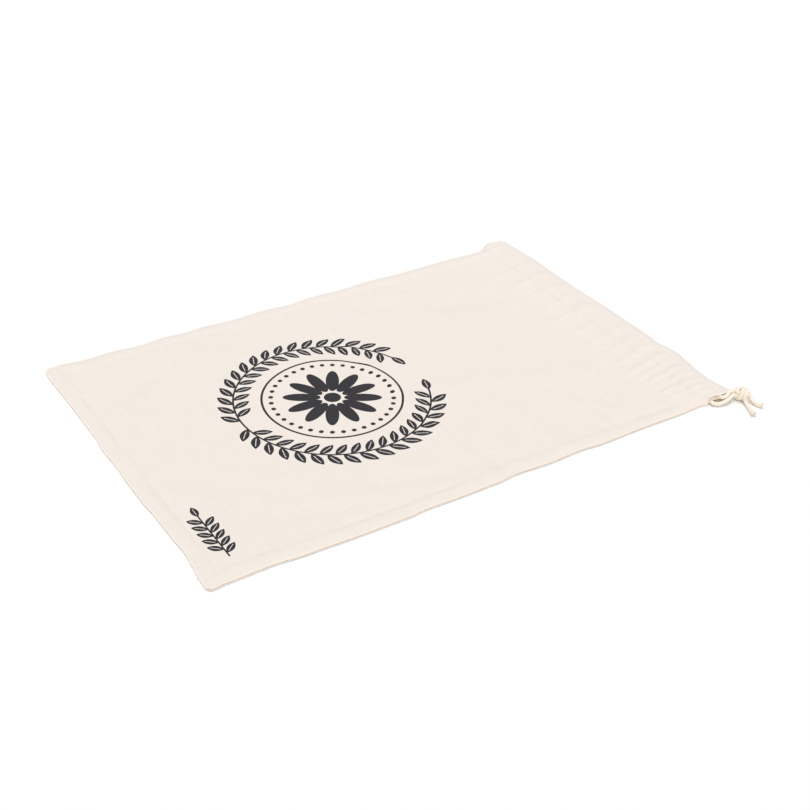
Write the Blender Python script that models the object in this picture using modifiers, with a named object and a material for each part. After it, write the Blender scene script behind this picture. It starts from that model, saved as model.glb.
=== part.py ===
"""Bread bag: two cloth panels sewn together and lying flat, with a cord in the mouth hem.

Metres. +X runs from the closed bottom to the mouth, +Y from the tied side to the far side and
+Z up. The back panel lies flat on Z = 0. Each panel is one sheet: its outer layer runs to the
mouth, folds in and comes back as the hem, and the cord runs in the tunnel between the two.
"""

import math
from collections import namedtuple

import bmesh
import bpy
from mathutils import Matrix, Vector

MM = 0.001

# Cloth and clearances
CLOTH = 1.0 * MM
GAP = 0.3 * MM
BAG_LENGTH = 450 * MM
BAG_WIDTH = 300 * MM
CORNER_RADIUS = 5 * MM
BOX_MIDDLE = Vector((-0.8, 1.7, 0)) * MM

# Border where the seam allowances lie inside the bag
SEAM_INNER = 9.5 * MM
SEAM_OUTER = 13.5 * MM
SEAM_EXTRA = 0.7 * MM
EDGE_ROLL = 3 * MM
EDGE_DROP = 0.5 * MM

# Mouth hem, measured back from the mouth's edge
HEM_DEPTH = 31 * MM
HEM_SLOPE = 16 * MM
HEM_LAND = 1 * MM
FILL_START = 0.8 * MM
FILL_END = 3 * MM
LAYER_PITCH = 2 * CLOTH + GAP
HEM_CLEARANCE = 0.4 * MM
FOLD_STEPS = 3
FOLD_RADIUS = 1.2 * MM
SHARP_ANGLE = math.radians(40)

# Cord, and its pressed section inside the tunnels
CORD = 3.0 * MM
CORD_PRESSED = 2.0 * MM
CORD_SPREAD = 3.4 * MM
CORD_TWIST_PITCH = 9 * MM
FRONT_CORD_INSET = 11 * MM
BACK_CORD_INSET = 20 * MM
TUNNEL_RISE = CORD_PRESSED + GAP
TUNNEL_FLAT = 2.2 * MM
TUNNEL_FALL = 5.5 * MM
CORD_MARGIN = 2.5 * MM
FAR_LOOP = 5 * MM
LOOP_STEPS = 8
NEAR_END = -150.2 * MM
RUN_STEP = 9 * MM
TIE_STEP = 1.0 * MM
CUT_FLARE = 0.2
FLARE_START = 0.75
SECTION_SIDES = 10
PLIES = 3
PLY_DEPTH = 0.06
WELD = 0.001 * MM

# Open end of the front tunnel at the tied corner: its upper lip arches over the cords
LIP_RISE = 1.6 * MM
LIP_REACH = 16 * MM
LIP_INSETS = (1.5 * MM, 27 * MM)

# Heights of the stacked layers
FIELD_TOP = 2 * CLOTH + GAP
FIELD_SEAT = CLOTH + GAP
HEM_TOP = 2 * LAYER_PITCH + HEM_CLEARANCE
HEM_SEAT = LAYER_PITCH + HEM_CLEARANCE
THICKEST = HEM_TOP
SEAM_CLEARANCE = 0.12 * MM
CLOTH_COLOUR = (0.87, 0.80, 0.73)
CLOTH_ROUGHNESS = 0.92
CORD_COLOUR = (0.86, 0.76, 0.62)
CORD_ROUGHNESS = 0.88

# Unevenness of the four sides, in mm: a distance along the side, and how far it stands out there
SideRow = namedtuple("SideRow", "at out")
NEAR_SIDE = (
    SideRow(0, 0.8), SideRow(15, -0.7), SideRow(45, -1.4), SideRow(75, 0.4), SideRow(120, 1.3),
    SideRow(150, 1.2), SideRow(165, -0.1), SideRow(195, 0.4), SideRow(225, 0.0), SideRow(242, -1.8),
    SideRow(270, -0.4), SideRow(300, -1.6), SideRow(318, -0.2), SideRow(360, -0.8), SideRow(395, -0.4),
    SideRow(415, -1.4), SideRow(424, -0.6), SideRow(437, 1.8), SideRow(450, -0.6),
)
FAR_SIDE = (
    SideRow(0, -1.0), SideRow(15, 0.0), SideRow(32, -2.2), SideRow(58, -1.0), SideRow(76, -3.1),
    SideRow(104, -0.9), SideRow(121, -2.6), SideRow(136, -1.4), SideRow(162, -3.0), SideRow(194, -1.6),
    SideRow(218, -3.3), SideRow(240, -1.0), SideRow(268, -2.0), SideRow(300, -0.4), SideRow(332, -1.8),
    SideRow(380, -0.8), SideRow(420, -2.0), SideRow(450, -1.2),
)
BOTTOM_SIDE = (
    SideRow(0, 2.2), SideRow(12, 1.9), SideRow(27, 0.0), SideRow(42, -1.3), SideRow(57, -0.7),
    SideRow(87, -0.4), SideRow(104, 0.6), SideRow(130, 0.7), SideRow(147, -0.1), SideRow(176, 0.5),
    SideRow(192, -1.0), SideRow(250, -1.1), SideRow(282, -0.6), SideRow(300, -1.0),
)
MOUTH_SIDE = (
    SideRow(0, -3.4), SideRow(12, -4.8), SideRow(22, -5.5), SideRow(36, -4.6), SideRow(50, -2.2),
    SideRow(66, 0.4), SideRow(76, -0.6), SideRow(86, -2.6), SideRow(104, -1.4), SideRow(150, -1.0),
    SideRow(205, -2.0), SideRow(255, -0.8), SideRow(300, -2.4),
)

# Soft folds pressed into the front, in mm from the closed bottom and from the middle line
Fold = namedtuple("Fold", "x1 y1 x2 y2 width height")
FRONT_FOLDS = (
    Fold(224, -150, 226, 150, 9, 0.9),
    Fold(290, -142, 284, -70, 10, 0.6),
    Fold(338, -138, 334, -96, 8, 0.7),
    Fold(140, -128, 60, -60, 22, 0.5),
    Fold(90, 112, 185, 60, 26, 0.5),
    Fold(330, 20, 300, 120, 20, 0.6),
    Fold(398, -86, 430, -82, 7, 0.9),
    Fold(400, -104, 432, -104, 5, 0.6),
    Fold(402, -122, 430, -125, 5, 0.6),
    Fold(400, 10, 432, 14, 8, 0.6),
    Fold(402, 78, 430, 74, 8, 0.7),
)

# Columns of the sheets, in mm from the closed bottom, then back from the mouth's edge
FIELD_COLUMNS = (0, 1.5, 5, 10.5, 13.5, 26, 44, 64, 86, 108, 130, 152, 174, 196, 212, 220, 226, 232,
                 242, 262, 280, 292, 308, 326, 336, 346, 362, 380, 392)
BACK_COLUMNS = (0, 1.5, 5, 12, 44, 86, 130, 174, 220, 262, 306, 346, 380)
HEM_COLUMNS = (50, 44, 38, 34.2, 31.6, 29, 26, 22.5, 18, 13, 9, 6, 3.5, FOLD_RADIUS / MM)
TURNED_COLUMNS = (FOLD_RADIUS / MM, 5, 9, 12.5, 14.5, 17, 20, 23, 25.5, 28, 31)
ROWS = (0, 1.5, 4, 8, 11, 14, 20, 27, 35, 44, 54, 66, 80, 98, 120, 144, 168, 192, 216, 240, 264, 284,
        289, 293, 297, 300)

# The tie: routes in mm, x from the middle of the bag, with the knot's place and size
KNOT_CENTRE = Vector((225.8, -156.8, 5.75)) * MM
KNOT_AXIS = Vector((0.80, -0.60, 0.0)).normalized()
KNOT_STRAND = 2.7 * MM
KNOT_CORE = 1.55 * MM
KNOT_HEART = Vector((4.2, 3.3, 3.3)) * MM
HEART_SEGMENTS = 16
HEART_RINGS = 10
KNOT_VOXEL = 0.42 * MM
KNOT_FACES_KEPT = 0.24
KnotRow = namedtuple("KnotRow", "axial radius turn")
RoutePoint = namedtuple("RoutePoint", "x y z")
STRAND_FRONT = (
    RoutePoint(209.3, -151.0, 5.6), RoutePoint(209.9, -152.3, 5.6), RoutePoint(212.0, -153.1, 5.8),
    RoutePoint(215.2, -152.5, 6.4), RoutePoint(218.3, -151.5, 7.0), RoutePoint(221.0, -151.9, 6.9),
)
STRAND_BACK = (
    RoutePoint(200.3, -151.0, 2.9), RoutePoint(200.7, -153.0, 2.5), RoutePoint(203.0, -155.3, 1.9),
    RoutePoint(207.0, -156.8, 2.0), RoutePoint(211.5, -157.0, 2.7), RoutePoint(215.8, -155.8, 3.8),
    RoutePoint(218.9, -153.8, 4.5),
)
TAIL_LONG = (
    RoutePoint(229.8, -161.3, 6.8), RoutePoint(230.4, -162.2, 6.5), RoutePoint(229.4, -164.1, 5.2),
    RoutePoint(226.2, -166.2, 3.3), RoutePoint(222.0, -169.4, 2.1), RoutePoint(218.4, -173.8, 1.9),
    RoutePoint(215.4, -179.2, 2.0),
)
TAIL_SHORT = (
    RoutePoint(231.2, -159.3, 4.5), RoutePoint(232.6, -160.9, 4.0), RoutePoint(232.4, -164.4, 2.7),
    RoutePoint(230.4, -168.2, 2.0), RoutePoint(230.0, -171.8, 1.9), RoutePoint(231.0, -175.8, 2.0),
)


def smooth(value, low, high):
    """0 below low and 1 above high, with a soft start and end."""
    share = min(max((value - low) / (high - low), 0.0), 1.0)
    return share * share * (3 - 2 * share)


def side_offset(rows, position):
    """How far a side stands out at a position in metres, on a smooth line through its rows."""
    at = position / MM
    if at <= rows[0].at:
        return rows[0].out * MM
    for before, after in zip(rows, rows[1:]):
        if at <= after.at:
            share = smooth(at, before.at, after.at)
            return (before.out + (after.out - before.out) * share) * MM
    return rows[-1].out * MM


def mouth_x(y):
    """Where the mouth's folded edge lies at a place across the bag."""
    return BAG_LENGTH / 2 + side_offset(MOUTH_SIDE, y + BAG_WIDTH / 2)


def bottom_x(y):
    """Where the closed bottom lies at a place across the bag."""
    return -BAG_LENGTH / 2 - side_offset(BOTTOM_SIDE, y + BAG_WIDTH / 2)


def near_y(x):
    """Where the tied side lies at a place along the bag."""
    return -BAG_WIDTH / 2 - side_offset(NEAR_SIDE, x + BAG_LENGTH / 2)


def far_y(x):
    """Where the far side lies at a place along the bag."""
    return BAG_WIDTH / 2 + side_offset(FAR_SIDE, x + BAG_LENGTH / 2)


def fold_lift(x, y):
    """Height of the soft folds of the front at a point."""
    lift = 0.0
    point = Vector((x + BAG_LENGTH / 2, y)) / MM
    for fold in FRONT_FOLDS:
        start, end = Vector((fold.x1, fold.y1)), Vector((fold.x2, fold.y2))
        run = end - start
        share = min(max((point - start).dot(run) / run.length_squared, 0.0), 1.0)
        away = (point - start - run * share).length
        lift += fold.height * MM * (1 - smooth(away, 0, fold.width))
    return lift


def cord_bump(inset, cord_inset):
    """1 over a cord in its tunnel and 0 beside it."""
    return 1 - smooth(abs(inset - cord_inset), TUNNEL_FLAT, TUNNEL_FLAT + TUNNEL_FALL)


def back_hem_top(inset):
    """Upper face of the back panel's turned-in hem."""
    return LAYER_PITCH + TUNNEL_RISE * cord_bump(inset, BACK_CORD_INSET)


def front_hem_underside(inset):
    """Lower face of the front panel's turned-in hem, which lies on the back one."""
    return back_hem_top(inset) + HEM_CLEARANCE


def inside_seams(x, y):
    """Distance in from the nearest sewn side."""
    return min(x - bottom_x(y), y - near_y(x), far_y(x) - y)


def seam_share(x, y):
    """1 over the border that holds the seam allowances, and 0 in the field and over the hem."""
    border = 1 - smooth(inside_seams(x, y), SEAM_INNER, SEAM_OUTER)
    return border * smooth(mouth_x(y) - x, HEM_DEPTH, HEM_DEPTH + HEM_SLOPE)


def edge_drop(x, y):
    """How far the front rolls down at its sewn sides."""
    rolled = 1 - smooth(inside_seams(x, y), 0, EDGE_ROLL)
    return EDGE_DROP * rolled * smooth(mouth_x(y) - x, HEM_DEPTH, HEM_DEPTH + HEM_SLOPE)


def lip_lift(inset, y, x):
    """Arch of the front tunnel's open end at the tied corner."""
    low, high = LIP_INSETS
    across = math.sin(math.pi * min(max((inset - low) / (high - low), 0.0), 1.0)) ** 1.5
    return LIP_RISE * across * (1 - smooth(y - near_y(x), 0, LIP_REACH))


def front_top(x, y):
    """Upper face of the front panel."""
    inset = mouth_x(y) - x
    on_hem = 1 - smooth(inset, HEM_DEPTH + HEM_LAND, HEM_DEPTH + HEM_SLOPE)
    past_back_cord = 1 - smooth(inset, BACK_CORD_INSET + CORD_MARGIN, HEM_DEPTH - HEM_LAND)
    before_mouth = smooth(inset, FOLD_RADIUS, FRONT_CORD_INSET - CORD_MARGIN)
    height = FIELD_TOP + (HEM_TOP - FIELD_TOP) * on_hem
    height += TUNNEL_RISE * past_back_cord * before_mouth
    height += fold_lift(x, y) + lip_lift(inset, y, x)
    return height + SEAM_EXTRA * seam_share(x, y) - edge_drop(x, y)


def front_thickness(x, y):
    """One cloth in the field, and down to the back panel where the seam allowances lie."""
    closed = 1 - smooth(inside_seams(x, y), SEAM_INNER, SEAM_OUTER)
    closed *= smooth(mouth_x(y) - x, HEM_DEPTH + FILL_START, HEM_DEPTH + FILL_END)
    whole = front_top(x, y) - FIELD_SEAT - SEAM_CLEARANCE
    return CLOTH + (whole - CLOTH) * closed


def rounded(x, y):
    """Rounds the two corners of the closed bottom."""
    start_x = bottom_x(y) + CORNER_RADIUS
    for side in (near_y(x) + CORNER_RADIUS, far_y(x) - CORNER_RADIUS):
        out = y - side
        beyond = -out if side < 0 else out
        if x < start_x and beyond > 0:
            corner = Vector(((start_x - x), beyond)) / CORNER_RADIUS
            corner *= max(corner) / corner.length
            x = start_x - corner.x * CORNER_RADIUS
            y = side + math.copysign(corner.y * CORNER_RADIUS, out)
    return x, y


def sheet_columns(field_columns):
    """Each column as a kind and a number: along the field, round the fold, or back along the hem."""
    columns = [("field", at * MM) for at in field_columns]
    columns += [("hem", at * MM) for at in HEM_COLUMNS]
    columns += [("fold", step / (FOLD_STEPS + 1)) for step in range(1, FOLD_STEPS + 1)]
    columns += [("turned", at * MM) for at in TURNED_COLUMNS]
    return columns


def panel_point(column, row, outer_height, turned_height):
    """The outside face of a panel at one column and row, from its two height functions."""
    kind, number = column
    across = row * MM / BAG_WIDTH
    # The near and far sides are read at the column's own place along the bag.
    from_mouth = 0 if kind == "fold" else number
    guess_x = number - BAG_LENGTH / 2 if kind == "field" else BAG_LENGTH / 2 - from_mouth
    y = near_y(guess_x) + (far_y(guess_x) - near_y(guess_x)) * across
    if kind == "field":
        stretch = smooth(number, 0, BAG_LENGTH)
        x = -BAG_LENGTH / 2 + number + (bottom_x(y) + BAG_LENGTH / 2) * (1 - stretch)
        x += (mouth_x(y) - BAG_LENGTH / 2) * stretch
        x, y = rounded(x, y)
        return Vector((x, y, outer_height(x, y)))
    if kind == "hem":
        x = mouth_x(y) - number
        return Vector((x, y, outer_height(x, y)))
    if kind == "turned":
        return Vector((mouth_x(y) - number, y, turned_height(number)))
    start_x = mouth_x(y) - FOLD_RADIUS
    upper = outer_height(start_x, y)
    lower = turned_height(FOLD_RADIUS)
    angle = math.pi * number
    height = (upper + lower) / 2 + (upper - lower) / 2 * math.cos(angle)
    return Vector((start_x + FOLD_RADIUS * math.sin(angle), y, height))


def build_panel(name, columns, rows, heights, thickness, material, face_down=False):
    """A panel: a grid laid on its outside face and thickened inwards."""
    outer_height, turned_height = heights
    shape = bmesh.new()
    bmesh.ops.create_grid(shape, x_segments=len(columns) - 1, y_segments=len(rows) - 1, size=1)
    shares = {}
    for vertex in shape.verts:
        column = columns[round((vertex.co.x + 1) / 2 * (len(columns) - 1))]
        row = rows[round((vertex.co.y + 1) / 2 * (len(rows) - 1))]
        vertex.co = panel_point(column, row, outer_height, turned_height)
        on_top = column[0] in ("field", "hem")
        depth = thickness(vertex.co.x, vertex.co.y) if on_top else CLOTH
        shares[vertex.index] = depth / THICKEST
    if face_down:
        bmesh.ops.reverse_faces(shape, faces=shape.faces)
    mesh = bpy.data.meshes.new(name)
    shape.to_mesh(mesh)
    shape.free()
    mesh.shade_smooth()
    mesh.set_sharp_from_angle(angle=SHARP_ANGLE)
    panel = bpy.data.objects.new(name, mesh)
    group = panel.vertex_groups.new(name="thickness")
    for index, share in shares.items():
        group.add([index], share, "REPLACE")
    solidify = panel.modifiers.new("cloth", "SOLIDIFY")
    solidify.thickness = THICKEST
    solidify.offset = -1
    solidify.vertex_group = group.name
    solidify.use_even_offset = True
    return place(panel, material)


def make_material(name, colour, roughness):
    """A matt material with its colour."""
    material = bpy.data.materials.new(name)
    material.use_nodes = True
    shader = material.node_tree.nodes["Principled BSDF"]
    shader.inputs["Base Color"].default_value = (*colour, 1)
    shader.inputs["Roughness"].default_value = roughness
    shader.inputs["Metallic"].default_value = 0
    material.diffuse_color = (*colour, 1)
    return material


def place(piece, material):
    """Puts a piece in the bag's collection with its material, the bag's middle over the origin."""
    bpy.data.collections["bread_bag"].objects.link(piece)
    piece.data.materials.append(material)
    piece.location = -BOX_MIDDLE
    return piece


def smooth_route(route, step):
    """Points about one step apart on a smooth curve through the route's points."""
    points = [Vector(point) for point in route]
    ends = [2 * points[0] - points[1], *points, 2 * points[-1] - points[-2]]
    fine = []
    for before, start, end, after in zip(ends, ends[1:], ends[2:], ends[3:]):
        pieces = max(2, round((end - start).length / (step / 4)))
        for piece in range(pieces):
            t = piece / pieces
            fine.append(
                0.5 * (2 * start + (end - before) * t + (2 * before - 5 * start + 4 * end - after) * t**2
                       + (3 * start - before - 3 * end + after) * t**3)
            )
    fine.append(points[-1])
    length = sum((b - a).length for a, b in zip(fine, fine[1:]))
    spacing = length / max(2, round(length / step))
    kept, travelled, wanted = [fine[0]], 0.0, spacing
    for a, b in zip(fine, fine[1:]):
        part = (b - a).length
        while part > 0 and travelled + part >= wanted - 1e-9 and len(kept) < round(length / spacing):
            kept.append(a.lerp(b, (wanted - travelled) / part))
            wanted += spacing
        travelled += part
    kept.append(fine[-1])
    return kept


def section_curve(name, width, height, depth):
    """A closed section for a cord: an oval whose rim bulges at each ply."""
    curve = bpy.data.curves.new(name, "CURVE")
    curve.dimensions = "2D"
    line = curve.splines.new("POLY")
    line.points.add(SECTION_SIDES - 1)
    for side, point in enumerate(line.points):
        angle = -math.tau * side / SECTION_SIDES
        bulge = 1 + depth * math.cos(PLIES * angle)
        across, up = width / 2 * math.cos(angle), height / 2 * math.sin(angle)
        point.co = (across * bulge, up * bulge, 0, 1)
    line.use_cyclic_u = True
    guide = bpy.data.objects.new(name, curve)
    guide.hide_render = True
    guide.display_type = "WIRE"
    bpy.data.collections["guides"].objects.link(guide)
    return guide


def cord_curve(name, points, section, twist_pitch=0.0, radii=None):
    """A cord along its points, with its section turning once in each twist pitch."""
    curve = bpy.data.curves.new(name, "CURVE")
    curve.dimensions = "3D"
    curve.twist_mode = "MINIMUM" if twist_pitch else "Z_UP"
    curve.bevel_mode = "OBJECT"
    curve.bevel_object = section
    curve.use_fill_caps = True
    line = curve.splines.new("POLY")
    line.points.add(len(points) - 1)
    travelled = 0.0
    for index, point in enumerate(points):
        line.points[index].co = (*point, 1)
        if index:
            travelled += (point - points[index - 1]).length
        if twist_pitch:
            line.points[index].tilt = math.tau * travelled / twist_pitch
        line.points[index].radius = radii[index] if radii else 1.0
    return bpy.data.objects.new(name, curve)


def tunnel_run_route():
    """The cord's way through the front tunnel, round the far side and back through the other."""
    front_z = HEM_SEAT + CLOTH + GAP + CORD_PRESSED / 2
    back_z = CLOTH + GAP + CORD_PRESSED / 2
    start_y, end_y = NEAR_END, far_y(BAG_LENGTH / 2 - FRONT_CORD_INSET)
    steps = round((end_y - start_y) / RUN_STEP)
    rows = [start_y + (end_y - start_y) * step / steps for step in range(steps + 1)]
    front = [Vector((mouth_x(y) - FRONT_CORD_INSET, y, front_z)) for y in rows]
    back = [Vector((mouth_x(y) - BACK_CORD_INSET, y, back_z)) for y in reversed(rows)]
    middle = (front[-1] + back[0]) / 2
    half = (front[-1] - back[0]) / 2
    turn = []
    for step in range(1, LOOP_STEPS):
        angle = math.pi * step / LOOP_STEPS
        turn.append(middle + half * math.cos(angle) + Vector((0, FAR_LOOP * math.sin(angle), 0)))
    return front + turn + back


def metres(route):
    """The points of a route, from millimetres."""
    return [Vector(point) * MM for point in route]


def build_tie_cord(name, route, section, material, end_flare=0.0):
    """A free stretch of the cord, with an opened end where it is cut."""
    points = smooth_route(metres(route), TIE_STEP)
    count = len(points) - 1
    radii = [1 + end_flare * smooth(index / count, FLARE_START, 1.0) for index in range(count + 1)]
    return place(cord_curve(name, points, section, CORD_TWIST_PITCH, radii), material)


def knot_rows(side):
    """One strand's way through the knot: in through the core, round it, and out through the core."""
    entry = 0.375 + 0.5 * side
    leave = entry + 1.25
    return (
        KnotRow(-5.8, 1.0, entry), KnotRow(-3.0, 1.0, entry), KnotRow(2.4, 1.0, entry),
        KnotRow(4.2, 1.7, entry + 0.05), KnotRow(3.7, 2.5, entry + 0.15),
        KnotRow(2.6, 2.62, entry + 0.32), KnotRow(1.4, 2.62, entry + 0.5),
        KnotRow(0.2, 2.62, entry + 0.68), KnotRow(-1.0, 2.62, entry + 0.86),
        KnotRow(-2.4, 2.5, entry + 1.03), KnotRow(-3.9, 1.8, entry + 1.16),
        KnotRow(-2.6, 1.0, leave), KnotRow(2.6, 1.0, leave), KnotRow(5.2, 1.0, leave),
    )


def knot_route(side):
    """The rows of one strand as places in the bag's frame."""
    up = Vector((0, 0, 1))
    across = KNOT_AXIS.cross(up)
    route = []
    for row in knot_rows(side):
        angle = math.tau * row.turn
        outwards = across * math.cos(angle) + up * math.sin(angle)
        route.append(KNOT_CENTRE + KNOT_AXIS * row.axial * MM + outwards * row.radius * KNOT_CORE)
    return route


def mesh_from(piece):
    """The evaluated mesh of a curve object, with the seams of its caps closed."""
    graph = bpy.context.evaluated_depsgraph_get()
    mesh = bpy.data.meshes.new_from_object(piece.evaluated_get(graph))
    shape = bmesh.new()
    shape.from_mesh(mesh)
    bmesh.ops.remove_doubles(shape, verts=shape.verts, dist=WELD)
    shape.to_mesh(mesh)
    shape.free()
    return mesh


def build_knot(name, section, material):
    """The knot: both strands wound and drawn tight into one ridged lump."""
    shape = bmesh.new()
    for side in (0, 1):
        points = smooth_route(knot_route(side), TIE_STEP)
        strand = cord_curve(f"{name}_guide", points, section, CORD_TWIST_PITCH)
        bpy.data.collections["guides"].objects.link(strand)
        bpy.context.view_layer.update()
        strand_mesh = mesh_from(strand)
        shape.from_mesh(strand_mesh)
        bpy.data.objects.remove(strand)
        bpy.data.meshes.remove(strand_mesh)
    turned = KNOT_AXIS.to_track_quat("X", "Z").to_matrix().to_4x4()
    seat = Matrix.Translation(KNOT_CENTRE) @ turned @ Matrix.Diagonal((*KNOT_HEART, 1))
    bmesh.ops.create_uvsphere(
        shape, u_segments=HEART_SEGMENTS, v_segments=HEART_RINGS, radius=1, matrix=seat
    )
    mesh = bpy.data.meshes.new(name)
    shape.to_mesh(mesh)
    shape.free()
    mesh.shade_smooth()
    knot = place(bpy.data.objects.new(name, mesh), material)
    fuse = knot.modifiers.new("fuse", "REMESH")
    fuse.mode = "VOXEL"
    fuse.voxel_size = KNOT_VOXEL
    relax = knot.modifiers.new("relax", "SMOOTH")
    relax.factor = 0.5
    relax.iterations = 2
    thin = knot.modifiers.new("thin", "DECIMATE")
    thin.ratio = KNOT_FACES_KEPT
    return knot


def main():
    """Clears the scene and builds the bag's eight pieces."""
    for leftover in list(bpy.data.objects):
        bpy.data.objects.remove(leftover)
    for collection_name in ("bread_bag", "guides"):
        collection = bpy.data.collections.new(collection_name)
        bpy.context.scene.collection.children.link(collection)

    cotton = make_material("cloth", CLOTH_COLOUR, CLOTH_ROUGHNESS)
    cord = make_material("cord", CORD_COLOUR, CORD_ROUGHNESS)

    build_panel("back_panel", sheet_columns(BACK_COLUMNS), ROWS,
                (lambda x, y: 0.0, back_hem_top), lambda x, y: CLOTH, cotton, face_down=True)
    build_panel("front_panel", sheet_columns(FIELD_COLUMNS), ROWS,
                (front_top, front_hem_underside), front_thickness, cotton)

    pressed = section_curve("pressed_section", CORD_SPREAD, CORD_PRESSED, depth=0.0)
    plied = section_curve("plied_section", CORD, CORD, PLY_DEPTH)
    tight = section_curve("tight_section", KNOT_STRAND, KNOT_STRAND, PLY_DEPTH)
    place(cord_curve("drawstring_run", tunnel_run_route(), pressed), cord)
    build_tie_cord("tie_strand_front", STRAND_FRONT, plied, cord)
    build_tie_cord("tie_strand_back", STRAND_BACK, plied, cord)
    build_knot("tie_knot", tight, cord)
    build_tie_cord("tie_tail_long", TAIL_LONG, plied, cord, CUT_FLARE)
    build_tie_cord("tie_tail_short", TAIL_SHORT, plied, cord, CUT_FLARE)


main()
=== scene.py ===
"""Bread bag of unbleached plain-weave linen, lying flat and empty, with its mouth cord knotted.

The frame is the part's own: +X runs from the closed bottom to the mouth, +Y from the tied side to
the far side and +Z up. The classes hold their sizes in millimetres, as cloth and cord are measured,
with the bag's middle at x = y = 0; Bench.place() turns them into metres and into the part's frame.
"""

import logging
import math
import random
from collections.abc import Sequence
from dataclasses import dataclass, field
from enum import Enum
from typing import NamedTuple

import bpy
import numpy as np
from mathutils import Matrix, Vector

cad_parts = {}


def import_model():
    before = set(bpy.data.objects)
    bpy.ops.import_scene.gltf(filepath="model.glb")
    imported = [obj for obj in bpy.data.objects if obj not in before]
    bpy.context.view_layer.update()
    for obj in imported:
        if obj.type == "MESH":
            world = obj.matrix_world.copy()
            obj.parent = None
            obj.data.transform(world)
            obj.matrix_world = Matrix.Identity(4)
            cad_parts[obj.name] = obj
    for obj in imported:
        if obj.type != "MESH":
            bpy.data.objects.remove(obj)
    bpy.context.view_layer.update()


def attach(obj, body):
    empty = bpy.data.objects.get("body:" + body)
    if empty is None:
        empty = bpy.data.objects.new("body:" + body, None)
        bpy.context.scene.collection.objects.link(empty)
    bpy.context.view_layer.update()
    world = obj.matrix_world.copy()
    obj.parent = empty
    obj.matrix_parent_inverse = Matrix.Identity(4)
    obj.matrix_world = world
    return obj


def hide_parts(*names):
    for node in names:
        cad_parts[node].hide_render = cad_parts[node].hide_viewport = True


LOG = logging.getLogger("bread_bag")
MM = 0.001
ROOT = "root"

Points = np.ndarray
Route = tuple[tuple[float, float, float], ...]
Tree = bpy.types.NodeTree
Node = bpy.types.Node
Material = bpy.types.Material
Piece = bpy.types.Object

# Kinds of shader node that come up often
MATHS = "ShaderNodeMath"
VECTORS = "ShaderNodeVectorMath"
MIX = "ShaderNodeMix"
RANGE = "ShaderNodeMapRange"
NOISE = "ShaderNodeTexNoise"
BUMP = "ShaderNodeBump"
ATTRIBUTE = "ShaderNodeAttribute"
# Sockets of a mix of colours: its share, its two colours and what comes out
SHARE, FROM, TO, MIXED = 0, 6, 7, 2
# The wave texture turns this many radians for each unit of its scale.
WAVE_RADIANS = 20.0

# Attributes of the meshes that the finishes read
# The share of painted glow, which stands in for light through the cloth
GLOW_LAYER = "painted_glow"
GROOVE_LAYER = "ply_groove"
STRAND_LAYER = "strand_place"


# ---------------------------------------------------------------- small helpers


def smooth(value: Points | float, low: Points | float, high: Points | float) -> Points:
    """Eases from 0 below low to 1 above high.

    Args:
        value: One number or an array of them.
        low: Where the rise begins, one for all or one for each.
        high: Where the rise ends.

    Returns:
        The eased share, from 0 to 1.
    """
    share = np.clip((value - low) / (high - low), 0.0, 1.0)
    return share * share * (3 - 2 * share)


def arch(value: Points, low: float, high: float) -> Points:
    """Half a sine wave, which is 0 at low and at high and 1 between them."""
    return np.sin(math.pi * np.clip((value - low) / (high - low), 0, 1))


def travelled(line: Points) -> Points:
    """Distance along a line at each of its points."""
    return np.concatenate([[0], np.cumsum(np.linalg.norm(np.diff(line, axis=0), axis=1))])


def linear(hex_colour: str) -> tuple[float, float, float, float]:
    """Turns an sRGB hex colour into linear RGBA.

    Args:
        hex_colour: Six hex digits after a hash.

    Returns:
        Red, green, blue and an alpha of 1.
    """
    parts = [int(hex_colour[i : i + 2], 16) / 255 for i in (1, 3, 5)]
    red, green, blue = (p / 12.92 if p <= 0.04045 else ((p + 0.055) / 1.055) ** 2.4 for p in parts)
    return red, green, blue, 1.0


def connect(tree: Tree, node: Node, inputs: dict | Sequence) -> None:
    """Fills or links a node's inputs.

    Args:
        tree: The node tree that the node is in.
        node: The node.
        inputs: Values, sockets or nodes, in socket order or by socket name or number.
    """
    for key, value in inputs.items() if isinstance(inputs, dict) else enumerate(inputs):
        if isinstance(value, Node):
            value = value.outputs[0]
        if isinstance(value, bpy.types.NodeSocket):
            tree.links.new(value, node.inputs[key])
        else:
            node.inputs[key].default_value = value


def add_node(tree: Tree, kind: str, inputs: dict | Sequence = (), **settings: object) -> Node:
    """Adds a node with its settings, and fills or links its inputs.

    Args:
        tree: The node tree that the node joins.
        kind: The node's Blender type.
        inputs: As for connect().
        **settings: Properties of the node itself.

    Returns:
        The new node.
    """
    node = tree.nodes.new(kind)
    for name, value in settings.items():
        setattr(node, name, value)
    connect(tree, node, inputs)
    return node


def new_tree(name: str) -> tuple[Material, Tree, Node]:
    """Makes a material that holds only a Principled shader.

    Args:
        name: The material's name.

    Returns:
        The material, its node tree and its shader.
    """
    material = bpy.data.materials.new(name)
    material.use_nodes = True
    return material, material.node_tree, material.node_tree.nodes["Principled BSDF"]


# ---------------------------------------------------------------- the bench


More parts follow.
